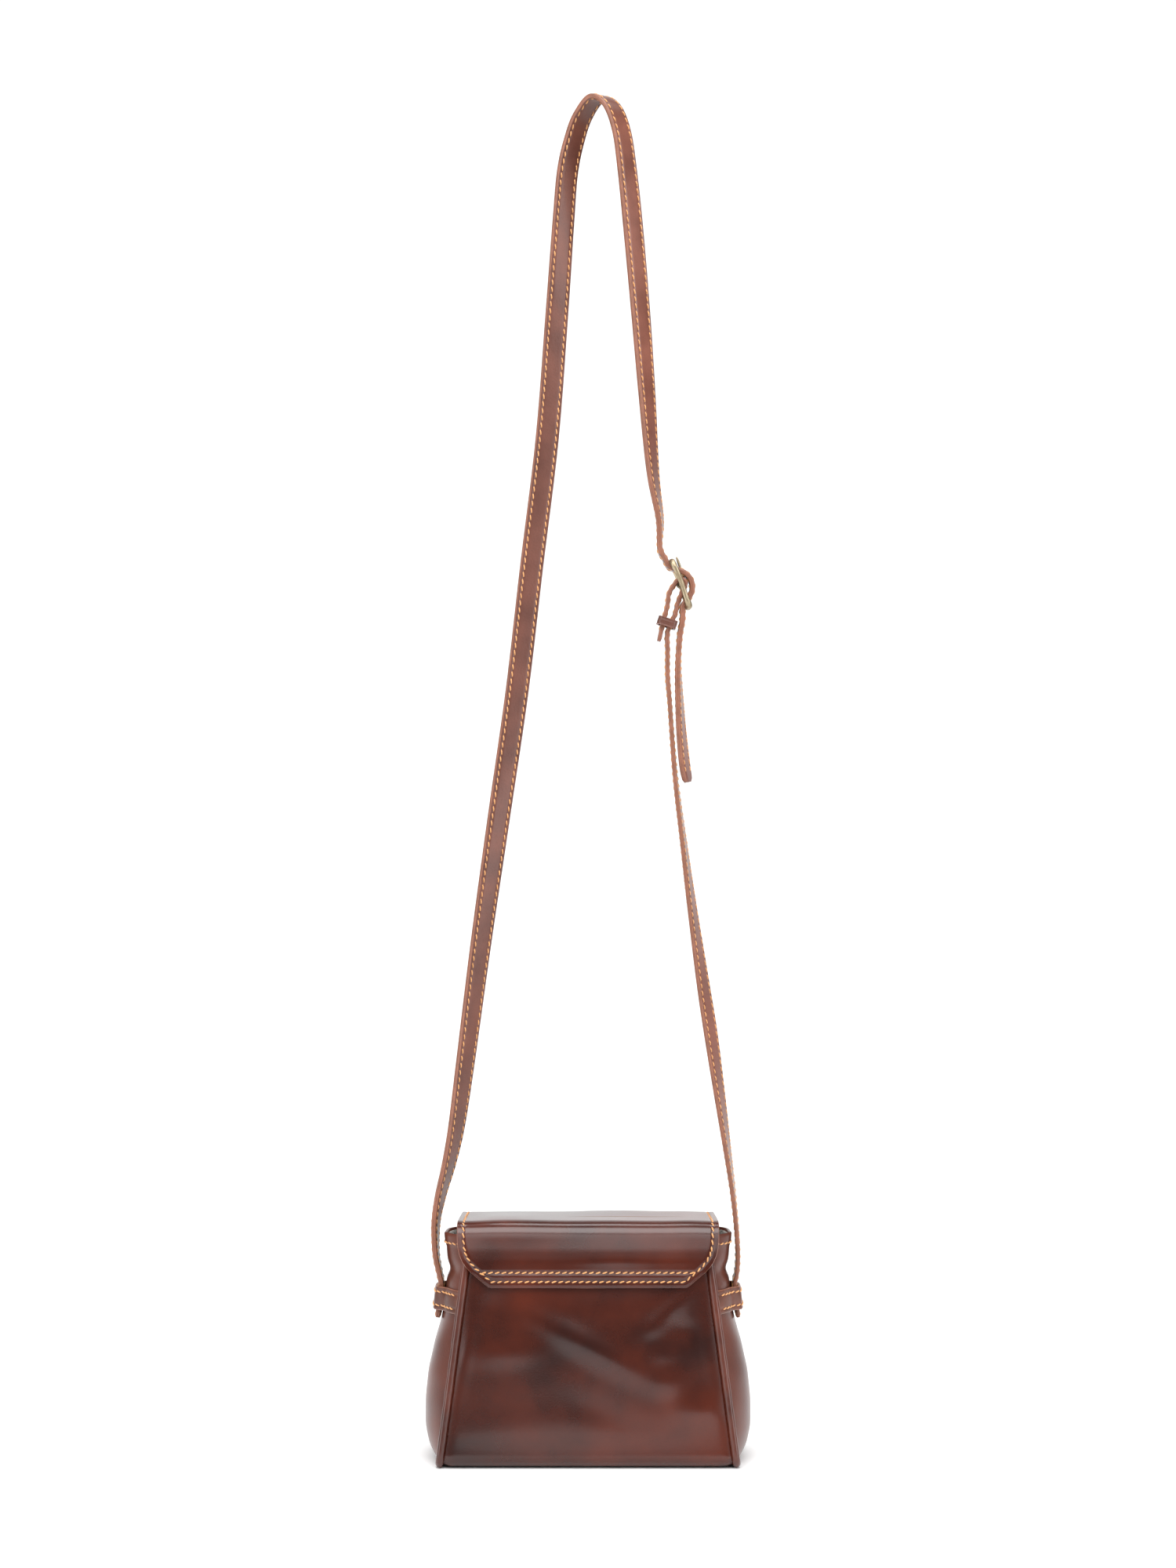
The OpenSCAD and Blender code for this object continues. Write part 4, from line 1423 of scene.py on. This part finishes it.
LONG_ROUTE = [
    ((-87.7, 0, 81.8), 0), ((-86.7, 0, 90), 0), ((-85.6, 0, 100), 0), ((-87, 0, 108), 0),
    ((-88.6, 0, 116), 2), ((-89.2, 0, 125), 5), ((-88.8, 0, 138), 10), ((-86, 0, 153), 18),
    ((-81.5, 0, 170), 26), ((-77, 0, 192), 34), ((-72, 0, 228), 42), ((-62.5, 1, 301), 52),
    ((-52, 2, 375), 62), ((-41.5, 3, 448), 68), ((-33, 4, 521), 70), ((-24, 4, 595), 70),
    ((-18.3, 4, 668), 66), ((-14.4, 4, 723), 58), ((-12, 5, 752), 54), ((-8, 6, 771), 50),
    ((-3, 6, 785), 47), ((5, 1, 794.5), 45), ((13.5, -5, 789.5), 45), ((19.5, -7, 774), 46),
    ((23, -7, 750), 48), ((26.6, -6, 715), 50), ((31, -5, 665), 46), ((34.5, -3, 620), 38),
    ((38, -1, 575), 24), ((42, 0, 548), 10),
    at_buckle(-5, 24, 0), at_buckle(-4.2, 16.5, 0), at_buckle(-3.5, 12, 0), at_buckle(0.3, 8.6, 0),
    at_buckle(4.3, 4.8, 0), at_buckle(6, 0, 0), at_buckle(5, -5.2, 0), at_buckle(1.2, -9.6, 0),
    at_buckle(-3.3, -12.3, 0), at_buckle(-4.8, -16.5, 0), at_buckle(-6.6, -21, 0),
    ((53.6, 0, 479), 0), ((52.8, 0, 462), 4), ((53.4, 0, 444), 10), ((54.6, 0, 424), 16),
    ((56.6, 0, 404), 20), ((58.4, 0, 394), 22)]
SHORT_ROUTE = [
    ((87.7, 0, 81.8), 180), ((86.7, 0, 90), 180), ((85.6, 0, 100), 180), ((87, 0, 108), 180),
    ((87.6, 0, 118), 181), ((86.8, 0, 134), 183), ((84.8, 0, 154), 186), ((81.6, 0, 178), 192),
    ((77.3, 0, 209), 202), ((72, 0, 246), 210), ((67.5, 0, 275), 208), ((61, 0, 320), 198),
    ((56, 0, 358), 190), ((51, 0, 398), 184), ((47.8, 0, 440), 181), ((46.5, 0, 456), 180),
    ((46.5, 0, 470), 180), ((46.6, 0, 482), 180),
    at_buckle(-9.5, -16, 180), at_buckle(-5.2, -9.5, 180), at_buckle(0.2, -3.4, 180),
    at_buckle(2.6, -0.6, 180), at_buckle(1.9, 1.9, 180), at_buckle(-0.4, 2.7, 180),
    at_buckle(-3.6, 1.2, 180),
    ((47.4, 0, 504.5), 180), ((46.4, 0, 497.5), 180), ((44.9, 0, 491.5), 180),
    ((43.4, 0, 485.5), 180), ((42, 0, 479), 180), ((41.4, 0, 476.5), 180)]


def strap_legs() -> tuple:
    """Returns the long leg with the tail and the short leg that holds the buckle."""
    return (
        Strap("long_strap", LONG_ROUTE, 3.0 * MM,
              ("strap_long", "strap_long_lining", "strap_end_left")),
        Strap("short_strap", SHORT_ROUTE, 2.4 * MM,
              ("strap_short", "strap_short_lining", "strap_end_right"),
              taper=2 * MM, narrow=1 * MM))


# ---------------------------------------------------------------------------- buckle and keeper


@dataclass
class Buckle:
    """Centre-bar buckle: a bowed rounded frame, its bar, and a prong on the bar.

    Places are worked out in the buckle's own axes: n out of the strap, y across and v along.
    """

    middle: tuple = BUCKLE_MIDDLE
    lean: float = BUCKLE_LEAN
    half_long: float = 14.0
    half_wide: float = 9.4
    corner: float = 4.0
    bar_r: float = 1.6
    pin_r: float = 1.3
    wire_r: float = 0.8
    bow: float = 1.1

    def world(self, local: np.ndarray) -> np.ndarray:
        """Turns places (n, y, v) in millimetres into the frame's axes."""
        c, s = np.cos(np.radians(self.lean)), np.sin(np.radians(self.lean))
        n, y, v = np.moveaxis(local, -1, 0)
        return (np.stack([n * c - v * s, y, n * s + v * c], axis=-1) + self.middle) * MM

    def frame(self) -> Shape:
        """Carries an oval section round the outline.

        The frame is bowed by -bow * (v / half_long)^2, and its foot is flared out and thicker.
        """
        w, h = self.half_wide, self.half_long
        line = rounded_rectangle(w, h, self.corner, 0.12)
        loop = np.vstack([line, line[:1]])
        line = walk(loop, np.linspace(0.0, lengths(loop)[-1], 161))[:-1]
        n = self.bow * (0.7 * bell(line[:, 1], -h, 5.0) - (line[:, 1] / h) ** 2)
        path = np.stack([n, line[:, 0], line[:, 1]], axis=1)
        head, foot = bell(line[:, 1], h, 5.0), bell(line[:, 1], -h, 3.5)
        thick = self.bar_r * (0.94 + 0.22 * head + 0.38 * foot)
        ring = tube(path, thick, (1, 0, 0), 20, 0.85, closed=True)
        y = np.linspace(-w, w, 40)
        swell = self.pin_r * (1 + 0.22 * bell(np.abs(y), w, 1.6))
        pin = tube(np.stack([np.zeros_like(y), y, np.zeros_like(y)], axis=1), swell, (1, 0, 0), 18)
        both = ring + pin
        return Shape(self.world(both.points), both.blocks)

    def prong(self) -> Shape:
        """Winds an eye round the bar and runs a slightly arched tongue to the end bar."""
        eye = self.pin_r + 0.1 + self.wire_r
        turn = np.linspace(0.0, 2 * np.pi, 49)[:-1]
        ring = tube(np.stack([eye * np.cos(turn), 0 * turn, eye * np.sin(turn)], axis=1),
                    self.wire_r, (0, 1, 0), 12, closed=True)
        end = self.half_long + 1.9
        v = np.linspace(0.0, end, 40)
        n = eye + 0.02 * v + 0.25 * np.sin(np.pi * v / end)
        size = self.wire_r * (1.0 - 0.3 * ease(v, end * 0.75, end) - 0.5 * ease(v, end - 0.5, end))
        both = ring + tube(np.stack([n, 0 * v, v], axis=1), size, (0, 1, 0), 14)
        return Shape(self.world(both.points), both.blocks)

    def dress(self) -> None:
        """Makes the frame and the prong."""
        frame_piece = make("buckle_ring", self.frame(), "buckle_brass", Finishes.BRASS)
        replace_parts(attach(frame_piece, "strap"), "buckle_frame")
        prong = make("prong_wire", self.prong(), "buckle_brass", Finishes.BRASS)
        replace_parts(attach(prong, "prong"), "buckle_prong")


@dataclass
class Keeper:
    """Leather loop round both legs of the short strap."""

    wall: float = 1.2 * MM
    corner: float = 2.6 * MM
    wide: float = 11.4 * MM
    deep: float = 18.4 * MM
    tall: float = 5 * MM
    lean: float = 18.0

    def dress(self) -> None:
        """Carries a crowned section round a rounded rectangle, leaning with the legs inside it."""
        centre = np.mean(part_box("strap_keeper"), axis=0)
        w, d = (self.wide - self.wall) / 2, (self.deep - self.wall) / 2
        line = rounded_rectangle(w, d, self.corner - self.wall / 2, 0.15)
        ahead = unit(np.roll(line, -1, axis=0) - np.roll(line, 1, axis=0))
        c, s = np.cos(np.radians(self.lean)), np.sin(np.radians(self.lean))
        level = np.array([[c, 0.0, -s], [0.0, 1.0, 0.0]])
        out = np.stack([-ahead[:, 1], ahead[:, 0]], axis=1) @ level
        path = line @ level + centre
        tall, t = self.tall, self.wall / 2
        v = np.linspace(-0.46, 0.46, 12) * tall
        face = t + 0.12 * MM - 0.2 * MM * bell(np.abs(v), tall / 2 - 1.1 * MM, 0.4 * MM)
        rim = np.array([[tall / 2, t / 2], [tall / 2, -t / 2]])
        section = np.vstack([np.stack([v, face], 1), rim, np.stack([v[::-1], -t + 0 * v], 1), -rim])
        kinds = [0] * 11 + [2] * 3 + [1] * 11 + [2] * 3
        up = np.broadcast_to([s, 0.0, c], path.shape)
        shape = sweep(path, up, out, section, kinds, closed=True)
        loop = make("keeper_loop", shape, "keeper_leather", Finishes.KEEPER, Finishes.UNDERSIDE,
                    Finishes.EDGE)
        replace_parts(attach(loop, "keeper"), "strap_keeper")


# ---------------------------------------------------------------------------- what shows least


KEPT_NODES = {
    "base_board": Finishes.BOARD,
    "piping_core_left": Finishes.CORD,
    "piping_core_right": Finishes.CORD,
    "flap_stiffener": Finishes.BOARD,
    "snap_socket": Finishes.BRASS,
    "snap_stud": Finishes.BRASS,
    "snap_magnet": Finishes.FERRITE,
    "snap_socket_washer": Finishes.STEEL,
    "snap_stud_washer": Finishes.STEEL,
}


def dress_kept_nodes() -> None:
    """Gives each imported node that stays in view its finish."""
    for name, finish in KEPT_NODES.items():
        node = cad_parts[name]
        node.data.materials.clear()
        node.data.materials.append(finish.material)
        LOG.info("%s: finish %s", name, finish.name)


# ---------------------------------------------------------------------------- studio


@dataclass
class Studio:
    """Camera, pale floor that curves up behind, and soft lights."""

    distance: float = 1.9
    eye: float = 0.393
    lens: float = 74.56

    def camera(self) -> None:
        """Places a level camera that looks along +Y."""
        data = bpy.data.cameras.new("camera")
        data.lens, data.sensor_width = self.lens, 36.0
        camera = add_object("camera", data)
        camera.location = (0.0, -self.distance, self.eye)
        camera.rotation_euler = (np.pi / 2, 0.0, 0.0)
        bpy.context.scene.camera = camera

    def floor(self) -> None:
        """Sweeps the floor's line, a level run and a large quarter circle, across X."""
        line = rounded(((-6.0, 0.0), (3.2, 0.0), (3.2, 4.5)), (2.2,), 0.05)
        x = np.array([-6.0, 6.0])
        grid = np.stack(np.broadcast_arrays(x, line[:, :1], line[:, 1:]), axis=-1)
        shape = slab(grid, grid - (0, -0.01, 0.01), steps=2, kinds=(0, 0, 0))
        paint = Paint("pale_floor", base_color=(0.86, 0.86, 0.86, 1.0), roughness=0.7,
                      specular_ior_level=0.2)
        add_mesh("floor", shape, [paint.material], sharp=0.5)

    def lamp(self, name: str, place: tuple, aim: tuple, size: tuple, power: float) -> None:
        """Adds a rectangular soft light.

        Args:
            name: the light's name.
            place: where it stands.
            aim: the point that it faces.
            size: width and height.
            power: watts.
        """
        data = bpy.data.lights.new(name, "AREA")
        data.shape = "RECTANGLE"
        data.size, data.size_y = size
        data.energy = power
        lamp = add_object(name, data)
        ahead = unit(np.array(aim, float) - np.array(place, float))
        side = unit(np.cross(ahead, (0.0, 0.0, 1.0)))
        up = np.cross(side, ahead)
        turn = Matrix(np.stack([side, up, -ahead], axis=1).tolist())
        lamp.matrix_world = Matrix.Translation(place) @ turn.to_4x4()

    def lights(self) -> None:
        """Sets the room's even light and five lamps, one of them for the backdrop."""
        world = bpy.data.worlds.new("room")
        world.use_nodes = True
        room = world.node_tree.nodes["Background"].inputs
        room["Color"].default_value = (1.0, 1.0, 1.0, 1.0)
        room["Strength"].default_value = 0.16
        bpy.context.scene.world = world
        bpy.context.scene.view_settings.view_transform = "Standard"
        self.lamp("overhead", (0.0, -1.1, 2.1), (0.0, 0.0, 0.2), (2.4, 1.4), 60.0)
        self.lamp("front", (0.0, -2.7, 1.75), (0.0, 0.0, 0.1), (3.2, 0.8), 24.0)
        self.lamp("left", (-2.0, -1.1, 0.9), (0.0, 0.0, 0.3), (1.0, 1.8), 24.0)
        self.lamp("right", (2.0, -1.1, 0.9), (0.0, 0.0, 0.3), (1.0, 1.8), 24.0)
        self.lamp("backdrop", (0.0, 0.6, 2.6), (0.0, 2.6, 0.4), (3.5, 0.8), 60.0)


def main() -> None:
    """Builds the studio and the purse, piece by piece."""
    logging.basicConfig(level=logging.INFO, format="%(name)s %(message)s")
    studio = Studio()
    studio.camera()
    studio.floor()
    studio.lights()
    form = BodyForm.from_frame()
    gussets = [Gusset(form, hand) for hand in Hand]
    for part in (Wrap(form), *gussets, *flap_halves(form), *strap_legs(), Buckle(), Keeper()):
        part.dress()
    dress_kept_nodes()


if __name__ == "__main__":
    main()
